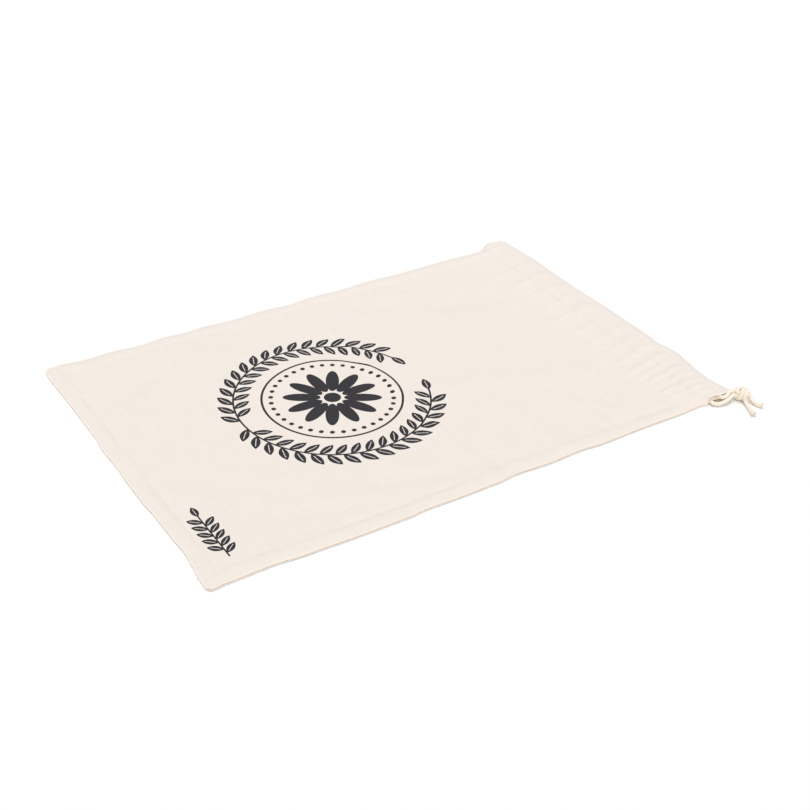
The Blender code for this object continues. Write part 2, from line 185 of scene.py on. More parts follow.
@dataclass(frozen=True)
class Bench:
    material: Material
    slot: str
    shift: tuple[float, float, float] = (0.8, -1.7, 0.0)

    def to_frame(self, points: Points) -> Points:
        """Millimetres round the bag's middle, as metres in the part's frame."""
        return (np.asarray(points, float) + self.shift) * MM

    def place(
        self,
        name: str,
        points: Points,
        faces: Sequence[Sequence[int]],
        replaced: Sequence[str] = (),
        layers: dict[str, Points] | None = None,
    ) -> Piece:
        """Makes one piece from its mesh.

        Args:
            name: The piece's name.
            points: Vertices in millimetres round the bag's middle.
            faces: Vertex numbers of each face.
            replaced: The part's nodes that it stands for.
            layers: Numbers, or rows of three, for the vertices, by the attribute's name.

        Returns:
            The new object, riding on the part.
        """
        mesh = bpy.data.meshes.new(name)
        mesh.from_pydata(self.to_frame(points).tolist(), [], faces)
        mesh.validate()
        mesh.shade_smooth()
        mesh.materials.append(self.material)
        for layer, values in (layers or {}).items():
            kind, key = ("FLOAT", "value") if values.ndim == 1 else ("FLOAT_VECTOR", "vector")
            attribute = mesh.attributes.new(layer, kind, "POINT")
            attribute.data.foreach_set(key, values.astype(np.float32).ravel())
        piece = bpy.data.objects.new(name, mesh)
        bpy.context.scene.collection.objects.link(piece)
        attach(piece, ROOT)
        if replaced:
            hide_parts(*replaced)
        LOG.info("%s: %d faces", name, len(mesh.polygons))
        return piece


# ---------------------------------------------------------------- finishes


@dataclass(frozen=True)
class PlainWeaveLinen:
    """Unbleached linen in plain weave: matt, cream, with slubby threads and a faint soft sheen."""

    name: str = "plain_weave_linen"
    # Washed flax off the loom is cream; thick threads catch more light and thin ones less.
    thread_light: str = "#EEE5DD"
    thread_deep: str = "#EAE1D9"
    # Painted glow: light through the many layers of a seam, and into the open hem, shown as a
    # warmer colour.
    glow_colour: str = "#FFF0E0"
    # Threads lie 0.5 mm apart in the real cloth. They are drawn 1.1 mm apart so that they show.
    thread_pitch: float = 1.1
    thread_lift: float = 0.35
    # A slub is a thick stretch of one thread, 20 to 40 mm long.
    slub_along: float = 24.0
    slub_across: float = 1.0
    slub_depth: float = 50.0
    slub_tones: tuple[float, float] = (0.82, 1.18)
    # Soft rumples, about 20 mm across, stay in the cloth however it is pressed.
    rumple: float = 0.045
    rumple_height: float = 1.2
    weave_height: float = 0.12
    relief: float = 0.35
    roughness: float = 0.92
    sheen: float = 0.12
    # Fabric pigment ink pressed through a screen: soft black, thinner where threads dip.
    ink: str = "#28262B"
    ink_worn: str = "#454348"
    # The ink's wear falls from this share to none between two heights of the threads.
    most_worn: float = 0.55
    wear_heights: tuple[float, float] = (0.55, 0.95)

    def weave(self, tree: Tree, place: Node) -> dict[str, Node]:
        """Draws the threads.

        Args:
            tree: The node tree to draw in.
            place: A node that gives the place on the cloth in millimetres.

        Returns:
            Nodes named height (threads over and under) and slub (thick and thin threads).
        """
        axes = add_node(tree, "ShaderNodeSeparateXYZ", [place])
        half_turn = math.pi / self.thread_pitch
        sines = []
        for axis in (0, 1):
            turned = add_node(tree, MATHS, [axes.outputs[axis], half_turn], operation="MULTIPLY")
            sines.append(add_node(tree, MATHS, [turned], operation="SINE"))
        over_under = add_node(tree, MATHS, sines, operation="MULTIPLY")
        slubs = []
        along, across, deep = 1 / self.slub_along, 1 / self.slub_across, 1 / self.slub_depth
        for scale in ((along, across, deep), (across, along, deep)):
            stretched = add_node(tree, "ShaderNodeMapping", {"Vector": place, "Scale": scale})
            noise = {"Vector": stretched, "Scale": 1.0, "Detail": 2.0, "Roughness": 0.55}
            slubs.append(add_node(tree, NOISE, noise))
        slub = add_node(tree, MATHS, slubs, operation="ADD")
        parts = [over_under, self.thread_lift, slub]
        lifted = add_node(tree, MATHS, parts, operation="MULTIPLY_ADD")
        return {"height": lifted, "slub": slub}

    def build(self, prints: "Sequence[InkDrawing]" = ()) -> Material:
        """Makes the material.

        Args:
            prints: The drawings that are printed on this cloth.

        Returns:
            The finished material.
        """
        material, tree, shader = new_tree(self.name + ("_printed" if prints else ""))
        metres = add_node(tree, "ShaderNodeTexCoord").outputs["Object"]
        place = add_node(tree, VECTORS, {0: metres, "Scale": 1 / MM}, operation="SCALE")
        threads = self.weave(tree, place)
        low, high = self.slub_tones
        tone = add_node(tree, RANGE, {"Value": threads["slub"], "From Min": low, "From Max": high})
        colours = {SHARE: tone, FROM: linear(self.thread_deep), TO: linear(self.thread_light)}
        cloth = add_node(tree, MIX, colours, data_type="RGBA")
        # Painted glow of light through the cloth, by the share that the mesh holds
        seam = add_node(tree, ATTRIBUTE, attribute_name=GLOW_LAYER).outputs["Fac"]
        colours = {SHARE: seam, FROM: cloth.outputs[MIXED], TO: linear(self.glow_colour)}
        colour = add_node(tree, MIX, colours, data_type="RGBA")
        if prints:
            mask = prints[0].draw(tree, place)
            for drawing in prints[1:]:
                mask = add_node(tree, MATHS, [mask, drawing.draw(tree, place)], operation="MAXIMUM")
            low, high = self.wear_heights
            heights = {"Value": threads["height"], "From Min": low, "From Max": high}
            wear = add_node(tree, RANGE, {**heights, "To Min": self.most_worn, "To Max": 0.0})
            colours = {SHARE: wear, FROM: linear(self.ink), TO: linear(self.ink_worn)}
            ink = add_node(tree, MIX, colours, data_type="RGBA")
            colours = {SHARE: mask, FROM: colour.outputs[MIXED], TO: ink.outputs[MIXED]}
            colour = add_node(tree, MIX, colours, data_type="RGBA")
        noise = {"Vector": place, "Scale": self.rumple, "Detail": 3.0, "Roughness": 0.5}
        relief = {"Height": add_node(tree, NOISE, noise), "Distance": self.rumple_height * MM}
        soft = add_node(tree, BUMP, {**relief, "Strength": self.relief})
        relief = {"Height": threads["height"], "Distance": self.weave_height * MM}
        woven = add_node(tree, BUMP, {**relief, "Strength": self.relief, "Normal": soft})
        wanted = {
            "Base Color": colour.outputs[MIXED],
            "Normal": woven,
            "Roughness": self.roughness,
            "Sheen Weight": self.sheen,
            "Sheen Roughness": 0.5,
            "IOR": 1.53,
            "Specular IOR Level": 0.25,
        }
        connect(tree, shader, wanted)
        return material


@dataclass(frozen=True)
class TwistedCottonCord:
    """Soft three-ply cotton cord: warm cream, hairy, quite matt, with painted shade between the
    plies.
    """

    name: str = "twisted_cotton_cord"
    crown: str = "#FDF4E8"
    # The groove colour is painted shade between the plies.
    groove: str = "#F8E6CD"
    # Cotton fibres lie about 0.3 mm apart on the surface of a ply, along the ply.
    fibre_across: float = 0.3
    fibre_along: float = 3.0
    fibre_height: float = 0.15
    fibre_tone: float = 0.35
    groove_shade_tones: tuple[float, float] = (0.2, 1.15)
    roughness: float = 0.9
    sheen: float = 0.2

    def build(self) -> Material:
        """Makes the material: painted shade darkens it with the depth of the groove between two
        plies.
        """
        material, tree, shader = new_tree(self.name)
        depth = add_node(tree, ATTRIBUTE, attribute_name=GROOVE_LAYER).outputs["Fac"]
        strand = add_node(tree, ATTRIBUTE, attribute_name=STRAND_LAYER).outputs["Vector"]
        scale = (1 / self.fibre_across, 1 / self.fibre_across, 1 / self.fibre_along)
        drawn = add_node(tree, "ShaderNodeMapping", {"Vector": strand, "Scale": scale})
        fibres = add_node(tree, NOISE, {"Vector": drawn, "Scale": 1.0, "Detail": 3.0})
        share = add_node(tree, MATHS, [fibres, self.fibre_tone, depth], operation="MULTIPLY_ADD")
        low, high = self.groove_shade_tones
        tone = add_node(tree, RANGE, {"Value": share, "From Min": low, "From Max": high})
        colours = {SHARE: tone, FROM: linear(self.crown), TO: linear(self.groove)}
        colour = add_node(tree, MIX, colours, data_type="RGBA")
        relief = {"Height": fibres, "Strength": 0.5, "Distance": self.fibre_height * MM}
        wanted = {
            "Base Color": colour.outputs[MIXED],
            "Normal": add_node(tree, BUMP, relief),
            "Roughness": self.roughness,
            "Sheen Weight": self.sheen,
            "Specular IOR Level": 0.2,
        }
        connect(tree, shader, wanted)
        return material


@dataclass(frozen=True)
class SpunSewingThread:
    """Spun cotton sewing thread: cream, a little smoother than the cloth, its fine twist in painted
    shade.
    """

    name: str = "spun_sewing_thread"
    # The deep colour is painted shade in the twist's grooves; the light one is the thread's own
    # cream.
    light: str = "#F5EEE4"
    deep: str = "#E9DDCD"
    # The thread turns once in about 0.6 mm, drawn as slanting bars of painted shade.
    twist: float = 0.6
    roughness: float = 0.75

    def build(self) -> Material:
        """Makes the material, with bars of painted shade across the thread for its twist."""
        material, tree, shader = new_tree(self.name)
        metres = add_node(tree, "ShaderNodeTexCoord").outputs["Object"]
        scale = math.tau / (WAVE_RADIANS * self.twist * MM)
        waves = {"Vector": metres, "Scale": scale, "Distortion": 0.5}
        twist_shade = add_node(tree, "ShaderNodeTexWave", waves, bands_direction="DIAGONAL")
        colours = {SHARE: twist_shade.outputs["Fac"], FROM: linear(self.deep), TO: linear(self.light)}
        colour = add_node(tree, MIX, colours, data_type="RGBA")
        connect(tree, shader, {"Base Color": colour.outputs[MIXED], "Roughness": self.roughness})
        return material


@dataclass(frozen=True)
class StudioPaper:
    """White background paper: matt, even and almost without texture."""

    name: str = "white_background_paper"
    white: str = "#F9F9F9"
    # Grains of the tooth in a metre, and their height in millimetres.
    grains: float = 900.0
    grain_height: float = 0.05

    def build(self) -> Material:
        """Makes the material, with the faint tooth of uncoated paper."""
        material, tree, shader = new_tree(self.name)
        metres = add_node(tree, "ShaderNodeTexCoord").outputs["Object"]
        tooth = add_node(tree, NOISE, {"Vector": metres, "Scale": self.grains})
        relief = {"Height": tooth, "Strength": 0.05, "Distance": self.grain_height * MM}
        wanted = {
            "Base Color": linear(self.white),
            "Normal": add_node(tree, BUMP, relief),
            "Roughness": 0.95,
            "Specular IOR Level": 0.0,
        }
        connect(tree, shader, wanted)
        return material


# ---------------------------------------------------------------- printed drawings


@dataclass(frozen=True)
class LeafRow:
    """Leaves in pairs along a stem, drawn in strip coordinates: u along the stem, v across it."""

    pitch: float = 12.2
    pairs: int = 18
    leaf_length: float = 16.0
    leaf_width: float = 6.8
    lean: float = math.radians(50)
    stem_width: float = 1.5
    vein_width: float = 0.55
    # The vein stays bare cloth between these shares of the leaf's length.
    vein_span: tuple[float, float] = (0.22, 0.8)
    # The stem runs on this far into the leaf at its tip.
    stem_past: float = 1.0

    def leaf(self, tree: Tree, along: Node, across: Node) -> Node:
        """Draws one leaf with its bare vein.

        Args:
            tree: The node tree to draw in.
            along: Node with the place along the leaf from its foot, in millimetres.
            across: Node with the place across it.

        Returns:
            A node that is 1 where there is ink and 0 elsewhere.
        """
        away = add_node(tree, MATHS, [across], operation="ABSOLUTE")
        # Half width w = W / 2 * 4 a (1 - a), fullest in the middle of the leaf's length.
        share = add_node(tree, MATHS, [along, 1 / self.leaf_length], operation="MULTIPLY")
        rest = add_node(tree, MATHS, [1.0, share], operation="SUBTRACT")
        belly = add_node(tree, MATHS, [share, rest], operation="MULTIPLY")
        edge = add_node(tree, MATHS, [belly, 2 * self.leaf_width], operation="MULTIPLY")
        blade = add_node(tree, MATHS, [away, edge], operation="LESS_THAN")
        off_vein = add_node(tree, MATHS, [away, self.vein_width / 2], operation="GREATER_THAN")
        foot = add_node(tree, MATHS, [share, self.vein_span[0]], operation="LESS_THAN")
        tip = add_node(tree, MATHS, [share, self.vein_span[1]], operation="GREATER_THAN")
        solid = off_vein
        for other in (foot, tip):
            solid = add_node(tree, MATHS, [solid, other], operation="MAXIMUM")
        return add_node(tree, MATHS, [blade, solid], operation="MINIMUM")

    def draw(self, tree: Tree, u: object, v: object) -> Node:
        """Draws the row, from u = 0 to its last pair and the leaf at its tip.

        Args:
            tree: The node tree to draw in.
            u: Node or socket with the place along the stem, in millimetres.
            v: Node or socket with the place across the stem, in millimetres.

        Returns:
            A node that is 1 where there is ink and 0 elsewhere.
        """
        # The leaves on one side stand half a pitch further back than those on the other.
        other_side = add_node(tree, MATHS, [v, 0.0], operation="GREATER_THAN")
        shifted = add_node(tree, MATHS, [other_side, self.pitch / 2, u], operation="MULTIPLY_ADD")
        in_cell = add_node(tree, MATHS, [shifted, self.pitch], operation="FLOORED_MODULO")
        cell = add_node(tree, MATHS, [shifted, in_cell], operation="SUBTRACT")
        out = add_node(tree, MATHS, [v], operation="ABSOLUTE")
        cosine, sine = math.cos(self.lean), math.sin(self.lean)
        part = add_node(tree, MATHS, [in_cell, cosine], operation="MULTIPLY")
        along = add_node(tree, MATHS, [out, sine, part], operation="MULTIPLY_ADD")
        part = add_node(tree, MATHS, [in_cell, -sine], operation="MULTIPLY")
        across = add_node(tree, MATHS, [out, cosine, part], operation="MULTIPLY_ADD")
        ink = self.leaf(tree, along, across)
        # Only whole leaves: their cells begin between the first pair and the last.
        last = (self.pairs + 0.5) * self.pitch
        for edge, test in ((self.pitch / 2, "GREATER_THAN"), (last, "LESS_THAN")):
            kept = add_node(tree, MATHS, [cell, edge], operation=test)
            ink = add_node(tree, MATHS, [ink, kept], operation="MINIMUM")
        end = self.pitch * (self.pairs + 1)
        past_end = add_node(tree, MATHS, [u, end], operation="SUBTRACT")
        ink = add_node(tree, MATHS, [ink, self.leaf(tree, past_end, v)], operation="MAXIMUM")
        stem = add_node(tree, MATHS, [out, self.stem_width / 2], operation="LESS_THAN")
        for edge, test in ((0.0, "GREATER_THAN"), (end + self.stem_past, "LESS_THAN")):
            kept = add_node(tree, MATHS, [u, edge], operation=test)
            stem = add_node(tree, MATHS, [stem, kept], operation="MINIMUM")
        return add_node(tree, MATHS, [ink, stem], operation="MAXIMUM")


@dataclass(frozen=True)
class InkDrawing:
    """A drawing printed on the cloth, with its centre in millimetres of the part's frame."""

    centre: tuple[float, float]

    def local(self, tree: Tree, place: Node) -> Node:
        """The place on the cloth as seen from the drawing's centre, split into its axes."""
        centred = add_node(tree, VECTORS, [place, (*self.centre, 0.0)], operation="SUBTRACT")
        return add_node(tree, "ShaderNodeSeparateXYZ", [centred])

    def draw(self, tree: Tree, place: Node) -> Node:
        """Draws it in the tree.

        Args:
            tree: The node tree to draw in.
            place: A node that gives the place on the cloth in millimetres.

        Returns:
            A node that is 1 where there is ink and 0 elsewhere.
        """
        raise NotImplementedError


@dataclass(frozen=True)
class WreathAndDaisy(InkDrawing):
    """A plain leaf wreath round a ring of dots and a daisy."""

    wreath_radius: float = 75.5
    leaves: LeafRow = LeafRow(pitch=11.6, pairs=17)
    ring_radius: float = 54.0
    ring_width: float = 1.8
    dot_count: int = 36
    dot_radius: float = 1.9
    dot_ring: float = 47.0
    petal_count: int = 12
    petal_middle: float = 23.5
    petal_half_length: float = 14.5
    petal_half_width: float = 5.2
    eye_radius: float = 6.6

    def sector_oval(
        self,
        tree: Tree,
        polar: tuple[Node, Node],
        count: int,
        middle: float,
        halves: tuple[float, float],
    ) -> Node:
        """Draws one oval in each of a number of equal sectors.

        Args:
            tree: The node tree to draw in.
            polar: Nodes with the distance from the centre and the angle round it.
            count: How many sectors there are.
            middle: Distance of each oval's middle from the centre.
            halves: Half of each oval's length along the radius, and half of its width.

        Returns:
            A node that is 1 inside an oval.
        """
        distance, angle = polar
        turn = add_node(tree, MATHS, [angle, math.pi / count], operation="PINGPONG")
        total = 0.0
        for wave, start, half in (("COSINE", middle, halves[0]), ("SINE", 0.0, halves[1])):
            share = add_node(tree, MATHS, [turn], operation=wave)
            share = add_node(tree, MATHS, [distance, share], operation="MULTIPLY")
            share = add_node(tree, MATHS, [share, start], operation="SUBTRACT")
            share = add_node(tree, MATHS, [share, 1 / half], operation="MULTIPLY")
            total = add_node(tree, MATHS, [share, share, total], operation="MULTIPLY_ADD")
        return add_node(tree, MATHS, [total, 1.0], operation="LESS_THAN")

    def draw(self, tree: Tree, place: Node) -> Node:
        """Draws the wreath, the ring, the dots and the daisy."""
        axes = self.local(tree, place)
        up, aside = axes.outputs[0], axes.outputs[1]
        squares = add_node(tree, MATHS, [up, up], operation="MULTIPLY")
        total = add_node(tree, MATHS, [aside, aside, squares], operation="MULTIPLY_ADD")
        distance = add_node(tree, MATHS, [total], operation="SQRT")
        angle = add_node(tree, MATHS, [aside, up], operation="ARCTAN2")
        # Both branches run from the bottom of the ring to its top, so u falls with the angle.
        turned = add_node(tree, MATHS, [angle], operation="ABSOLUTE")
        left = add_node(tree, MATHS, [math.pi, turned], operation="SUBTRACT")
        u = add_node(tree, MATHS, [left, self.wreath_radius], operation="MULTIPLY")
        v = add_node(tree, MATHS, [distance, self.wreath_radius], operation="SUBTRACT")
        ink = self.leaves.draw(tree, u, v)
        from_ring = add_node(tree, MATHS, [distance, self.ring_radius], operation="SUBTRACT")
        from_ring = add_node(tree, MATHS, [from_ring], operation="ABSOLUTE")
        ring = add_node(tree, MATHS, [from_ring, self.ring_width / 2], operation="LESS_THAN")
        polar, dot = (distance, angle), (self.dot_radius, self.dot_radius)
        petal = (self.petal_half_length, self.petal_half_width)
        dots = self.sector_oval(tree, polar, self.dot_count, self.dot_ring, dot)
        petals = self.sector_oval(tree, polar, self.petal_count, self.petal_middle, petal)
        eye = add_node(tree, MATHS, [distance, self.eye_radius], operation="LESS_THAN")
        for other in (ring, dots, petals, eye):
            ink = add_node(tree, MATHS, [ink, other], operation="MAXIMUM")
        return ink


@dataclass(frozen=True)
class Sprig(InkDrawing):
    """A small straight sprig with leaves in pairs, lying across the bag."""

    length: float = 62.0
    leaves: LeafRow = LeafRow(
        pitch=7.9, pairs=5, leaf_length=12.0, leaf_width=5.4, stem_width=1.2, vein_width=0.45
    )

    def draw(self, tree: Tree, place: Node) -> Node:
        """Draws the sprig, its tip towards the far side."""
        axes = self.local(tree, place)
        u = add_node(tree, MATHS, [axes.outputs[1], self.length / 2], operation="ADD")
        return self.leaves.draw(tree, u, axes.outputs[0])


# ---------------------------------------------------------------- the cloth


class SideRow(NamedTuple):
    """A distance along a side, and how far the side stands out there."""

    at: float
    out: float


def side_rows(*numbers: float) -> tuple[SideRow, ...]:
    """Pairs of numbers as rows of a side."""
    return tuple(SideRow(at, out) for at, out in zip(numbers[::2], numbers[1::2]))


@dataclass(frozen=True)
class BagOutline:
    """The uneven four sides of the bag as it lies."""

    length: float = 450.0
    width: float = 300.0
    corner_radius: float = 5.0
    near_side: tuple[SideRow, ...] = side_rows(
        0, 0.8, 15, -0.7, 45, -1.4, 75, 0.4, 120, 1.3, 150, 1.2, 165, -0.1, 195, 0.4, 225, 0.0,
        242, -1.8, 270, -0.4, 300, -1.6, 318, -0.2, 360, -0.8, 395, -0.4, 415, -1.4, 424, -0.6,
        437, 1.8, 450, -0.6,
    )
    far_side: tuple[SideRow, ...] = side_rows(
        0, -1.0, 15, 0.0, 32, -2.2, 58, -1.0, 76, -3.1, 104, -0.9, 121, -2.6, 136, -1.4, 162, -3.0,
        194, -1.6, 218, -3.3, 240, -1.0, 268, -2.0, 300, -0.4, 332, -1.8, 380, -0.8, 420, -2.0,
        450, -1.2,
    )
    bottom_side: tuple[SideRow, ...] = side_rows(
        0, 2.2, 12, 1.9, 27, 0.0, 42, -1.3, 57, -0.7, 87, -0.4, 104, 0.6, 130, 0.7, 147, -0.1,
        176, 0.5, 192, -1.0, 250, -1.1, 282, -0.6, 300, -1.0,
    )
    mouth_side: tuple[SideRow, ...] = side_rows(
        0, -0.4, 8, -1.9, 16, -3.4, 24, -4.2, 36, -3.5, 50, -1.1, 66, 1.3, 76, 0.4, 86, -1.6,
        104, -0.6, 150, -0.4, 205, -1.6, 255, -0.6, 300, -2.4,
    )

    @staticmethod
    def along(rows: tuple[SideRow, ...], at: Points) -> Points:
        """How far a side stands out, on a smooth line through its rows.

        Args:
            rows: The rows of the side.
            at: Distances along it.

        Returns:
            How far it stands out at each distance.
        """
        places, outs = np.array(rows, float).T
        before = np.clip(np.searchsorted(places, at, side="right") - 1, 0, len(places) - 2)
        share = smooth(at, places[before], places[before + 1])
        return outs[before] + (outs[before + 1] - outs[before]) * share

    def mouth(self, y: Points) -> Points:
        """Where the mouth's folded edge lies across the bag."""
        return self.length / 2 + self.along(self.mouth_side, y + self.width / 2)

    def bottom(self, y: Points) -> Points:
        """Where the closed bottom lies across the bag."""
        return -self.length / 2 - self.along(self.bottom_side, y + self.width / 2)

    def near(self, x: Points) -> Points:
        """Where the tied side lies along the bag."""
        return -self.width / 2 - self.along(self.near_side, x + self.length / 2)

    def far(self, x: Points) -> Points:
        """Where the far side lies along the bag."""
        return self.width / 2 + self.along(self.far_side, x + self.length / 2)

    def inside(self, x: Points, y: Points) -> Points:
        """Distance in from the nearest of the three sewn sides."""
        sides = np.minimum(y - self.near(x), self.far(x) - y)
        return np.maximum(np.minimum(sides, x - self.bottom(y)), 0.0)

    def rounded(self, x: Points, y: Points) -> tuple[Points, Points]:
        """Draws the two corners of the closed bottom in to a round.

        Args:
            x: Places along the bag.
            y: Places across the bag.

        Returns:
            The places with the corners rounded.
        """
        radius = self.corner_radius
        start = self.bottom(y) + radius
        low, high = self.near(x) + radius, self.far(x) - radius
        beyond = np.maximum(low - y, y - high)
        in_corner = (x < start) & (beyond > 0)
        back, out = (start - x) / radius, beyond / radius
        reach = np.hypot(back, out)
        share = np.where(in_corner, np.maximum(back, out) / np.where(reach > 0, reach, 1), 1)
        side = np.where(y < 0, low, high)
        new_x = np.where(in_corner, start - back * share * radius, x)
        new_y = np.where(in_corner, side + np.sign(y - side) * out * share * radius, y)
        return new_x, new_y


class Fold(NamedTuple):
    """A soft ridge, or a trough if its height is below 0: x from the bottom, y from the middle."""

    x1: float
    y1: float
    x2: float
    y2: float
    width: float
    height: float


def folds(*rows: tuple[float, float, float, float, float, float]) -> tuple[Fold, ...]:
    """Rows of numbers as folds."""
    return tuple(Fold(*row) for row in rows)


@dataclass(frozen=True)
class Layers:
    """How the layers of cloth and cord lie on each other."""

    cloth: float = 1.0
    thin_cloth: float = 0.7
    gap: float = 0.3
    hem_depth: float = 31.0
    hem_slope: float = 16.0
    hem_land: float = 1.0
    hem_clearance: float = 0.4
    fold_radius: float = 1.2
    seam_inner: float = 9.5
    seam_outer: float = 13.5
    seam_extra: float = 0.7
    # Over a cord the tunnel stands up by this much: flat at first, then falling away.
    tunnel_rise: float = 2.3
    tunnel_flat: float = 2.2
    tunnel_fall: float = 5.5
    cord_margin: float = 2.5
    front_cord: float = 11.0
    back_cord: float = 20.0
    stitch_inset: float = 28.6
    stitch_groove: tuple[float, float] = (0.3, 1.8)
    # From the mouth inwards, the open hem ends and the sewn sides begin between these insets.
    closing: tuple[float, float] = (24.0, 29.5)
    layers_close: tuple[float, float] = (26.5, 29.5)

    @property
    def pitch(self) -> float:
        """From one cloth to the next but one, as a hem turns back."""
        return 2 * self.cloth + self.gap

    @property
    def hem_top(self) -> float:
        """Upper face of the four layers of the two hems."""
        return 2 * self.pitch + self.hem_clearance

    def bump(self, inset: Points, cord: float) -> Points:
        """1 over a cord in its tunnel and 0 beside it."""
        far = self.tunnel_flat + self.tunnel_fall
        return 1 - smooth(np.abs(inset - cord), self.tunnel_flat, far)

    def back_hem_top(self, inset: Points) -> Points:
        """Upper face of the back panel's turned-in hem."""
        return self.pitch + self.tunnel_rise * self.bump(inset, self.back_cord)

    def front_hem_underside(self, inset: Points) -> Points:
        """Lower face of the front panel's turned-in hem."""
        return self.back_hem_top(inset) + self.hem_clearance

    def in_groove(self, inset: Points) -> Points:
        """1 along the line of the hem's stitches and 0 beside it."""
        return 1 - smooth(np.abs(inset - self.stitch_inset), *self.stitch_groove)

    def sewn(self, inset: Points) -> Points:
        """1 along the sewn sides and 0 at the mouth, where the cord comes out of the open hem."""
        return smooth(inset, *self.closing)


class Face(Enum):
    """Which way a panel's outside looks."""

    UP = "up"
    DOWN = "down"


@dataclass
class ClothPanel:
    """One sheet of the bag: its field, its hem, the fold at the mouth and the turned-in layer."""

    name: str
    face: Face
    replaced: str
    pitch_along: float
    pitch_across: float
    seam_lip: float = 0.0
    # Share of painted glow on the panel's rim
    rim_glow: float = 1.0
    outline: BagOutline = field(default_factory=BagOutline)
    layers: Layers = field(default_factory=Layers)
    rim_steps: tuple[float, ...] = (
        0, 0.12, 0.35, 0.7, 1.1, 1.6, 2.2, 3.0, 4.2, 5.6, 7.2, 8.8, 10.2, 11.6, 13.0, 14.6,
    )
    fold_steps: int = 7
    lip_width: float = 4.0
    # Near the mouth the mesh is closer, and a small step parts it from the rest.
    hem_field: float = 50.0
    hem_closeness: float = 0.62
    hem_step: float = 0.7
    turned: tuple[float, ...] = (1.2, 3.5, 6, 8.5, 11, 13.5, 15.5, 17.5, 20, 22.5, 25, 27, 28.6, 31)
    # Painted glow is strongest on a seam's rim, less where the hem is open, and less again at the
    # mouth.
    glow_rim: tuple[float, float] = (0.1, 0.9)
    open_glow: float = 0.35
    mouth_glow: float = 0.4
    glow_fade: tuple[float, float] = (26.0, 48.0)
    # Inside the open hem the painted glow fades between these distances from the near side.
    glow_reach: tuple[float, float] = (8.0, 26.0)
    # Cut size before sewing: the lying size with a 10 mm seam allowance on three sides and the hem.
    flat: tuple[float, float] = (320.0, 491.0)

    def height(self, x: Points, y: Points) -> Points:
        """Outside face of the panel at places on it."""
        raise NotImplementedError

    def inner(self, x: Points, y: Points, outer: Points) -> Points:
        """Inside face of the panel, below or above its outside face."""
        raise NotImplementedError

    def turned_height(self, inset: Points, from_near: Points) -> Points:
        """Outside face of the turned-in layer, by its distance from the mouth and the near side."""
        raise NotImplementedError

    def pressed(self, x: Points, y: Points) -> Points:
        """Share of its full height that the stack of layers keeps at places on it."""
        raise NotImplementedError

    def seam_glow(self, x: Points, y: Points) -> Points:
        """Share of painted glow at a seam's rim, for light through the cloth's many layers, from 0
        to 1.
        """
        inset = self.outline.mouth(y) - x
        rim = self.rim_glow * (1 - smooth(self.outline.inside(x, y), *self.glow_rim))
        sewn = self.open_glow + (1 - self.open_glow) * self.layers.sewn(inset)
        away = self.mouth_glow + (1 - self.mouth_glow) * smooth(inset, *self.glow_fade)
        return rim * sewn * away

    def inside_glow(self, x: Points, y: Points) -> Points:
        """Share of painted glow, for light through the cloth, on the shaded inside of the open hem,
        from 0 to 1.
        """
        inset = self.outline.mouth(y) - x
        beside = 1 - smooth(y - self.outline.near(x), *self.glow_reach)
        return beside * (1 - self.layers.sewn(inset - self.layers.hem_slope))

    def with_lip(self, places: Points) -> Points:
        """Moves the rim of the near and far sides out by the panel's lip."""
        x, y = places[..., 0], places[..., 1]
        sides = (y - self.outline.near(x), self.outline.far(x) - y)
        near, far = (1 - smooth(side, 0, self.lip_width) for side in sides)
        moved = places.copy()
        moved[..., 1] += self.seam_lip * (far - near)
        return moved

    @staticmethod
    def steps(first: Sequence[float], until: float, pitch: float, last: Sequence[float]) -> Points:
        """Places along one way of the sheet: fine ones at its rims and even ones between.

        Args:
            first: The fine places at the start.
            until: Where the even places end.
            pitch: About how far apart the even places are.
            last: The fine places after them.

        Returns:
            All the places in order.
        """
        count = max(2, round((until - first[-1]) / pitch))
        even = np.linspace(first[-1], until, count + 1)[1:]
        return np.concatenate([first, even, last])

    def grid(self) -> tuple[Points, Points, Points]:
        """Lays the sheet out.

        Returns:
            The outside face and the inside face, as columns by rows, and the share of painted glow
            on both.
        """
        outline, layers = self.outline, self.layers
        half, width = outline.length / 2, outline.width
        rims = np.array(self.rim_steps)
        rows = self.steps(rims, width - rims[-1], self.pitch_across, width - rims[-2::-1])
        share = (rows / width)[None, :]
        field_end = outline.length - self.hem_field - self.hem_step
        field_at = self.steps(rims, field_end, self.pitch_along, [])
        hem_pitch = self.pitch_along * self.hem_closeness
        hem_count = round((self.hem_field - layers.fold_radius) / hem_pitch)
        hem_at = np.linspace(self.hem_field, layers.fold_radius, hem_count + 1)

        def across(x: Points) -> Points:
            return outline.near(x) + (outline.far(x) - outline.near(x)) * share

        column = field_at[:, None]
        y = across(column - half)
        stretch = smooth(column, 0, outline.length)
        x = column - half + (outline.bottom(y) + half) * (1 - stretch)
        x = x + (outline.mouth(y) - half) * stretch
        x, y = outline.rounded(x, y)
        hem = hem_at[:, None]
        hem_y = across(half - hem)
        x = np.vstack([x, outline.mouth(hem_y) - hem])
        y = np.vstack([y, hem_y])
        top = self.height(x, y)
        under = self.inner(x, y, top)
        outer, inner = [np.stack([x, y, top], 2)], [np.stack([x, y, under], 2)]

        turned = np.array(self.turned)[:, None]
        turned_y = across(half - turned)
        turned_x = outline.mouth(turned_y) - turned
        kept, table = self.pressed(turned_x, turned_y), layers.cloth
        inwards = layers.thin_cloth if self.face is Face.UP else -layers.thin_cloth
        low = table + (self.turned_height(turned, turned_y - outline.near(turned_x)) - table) * kept

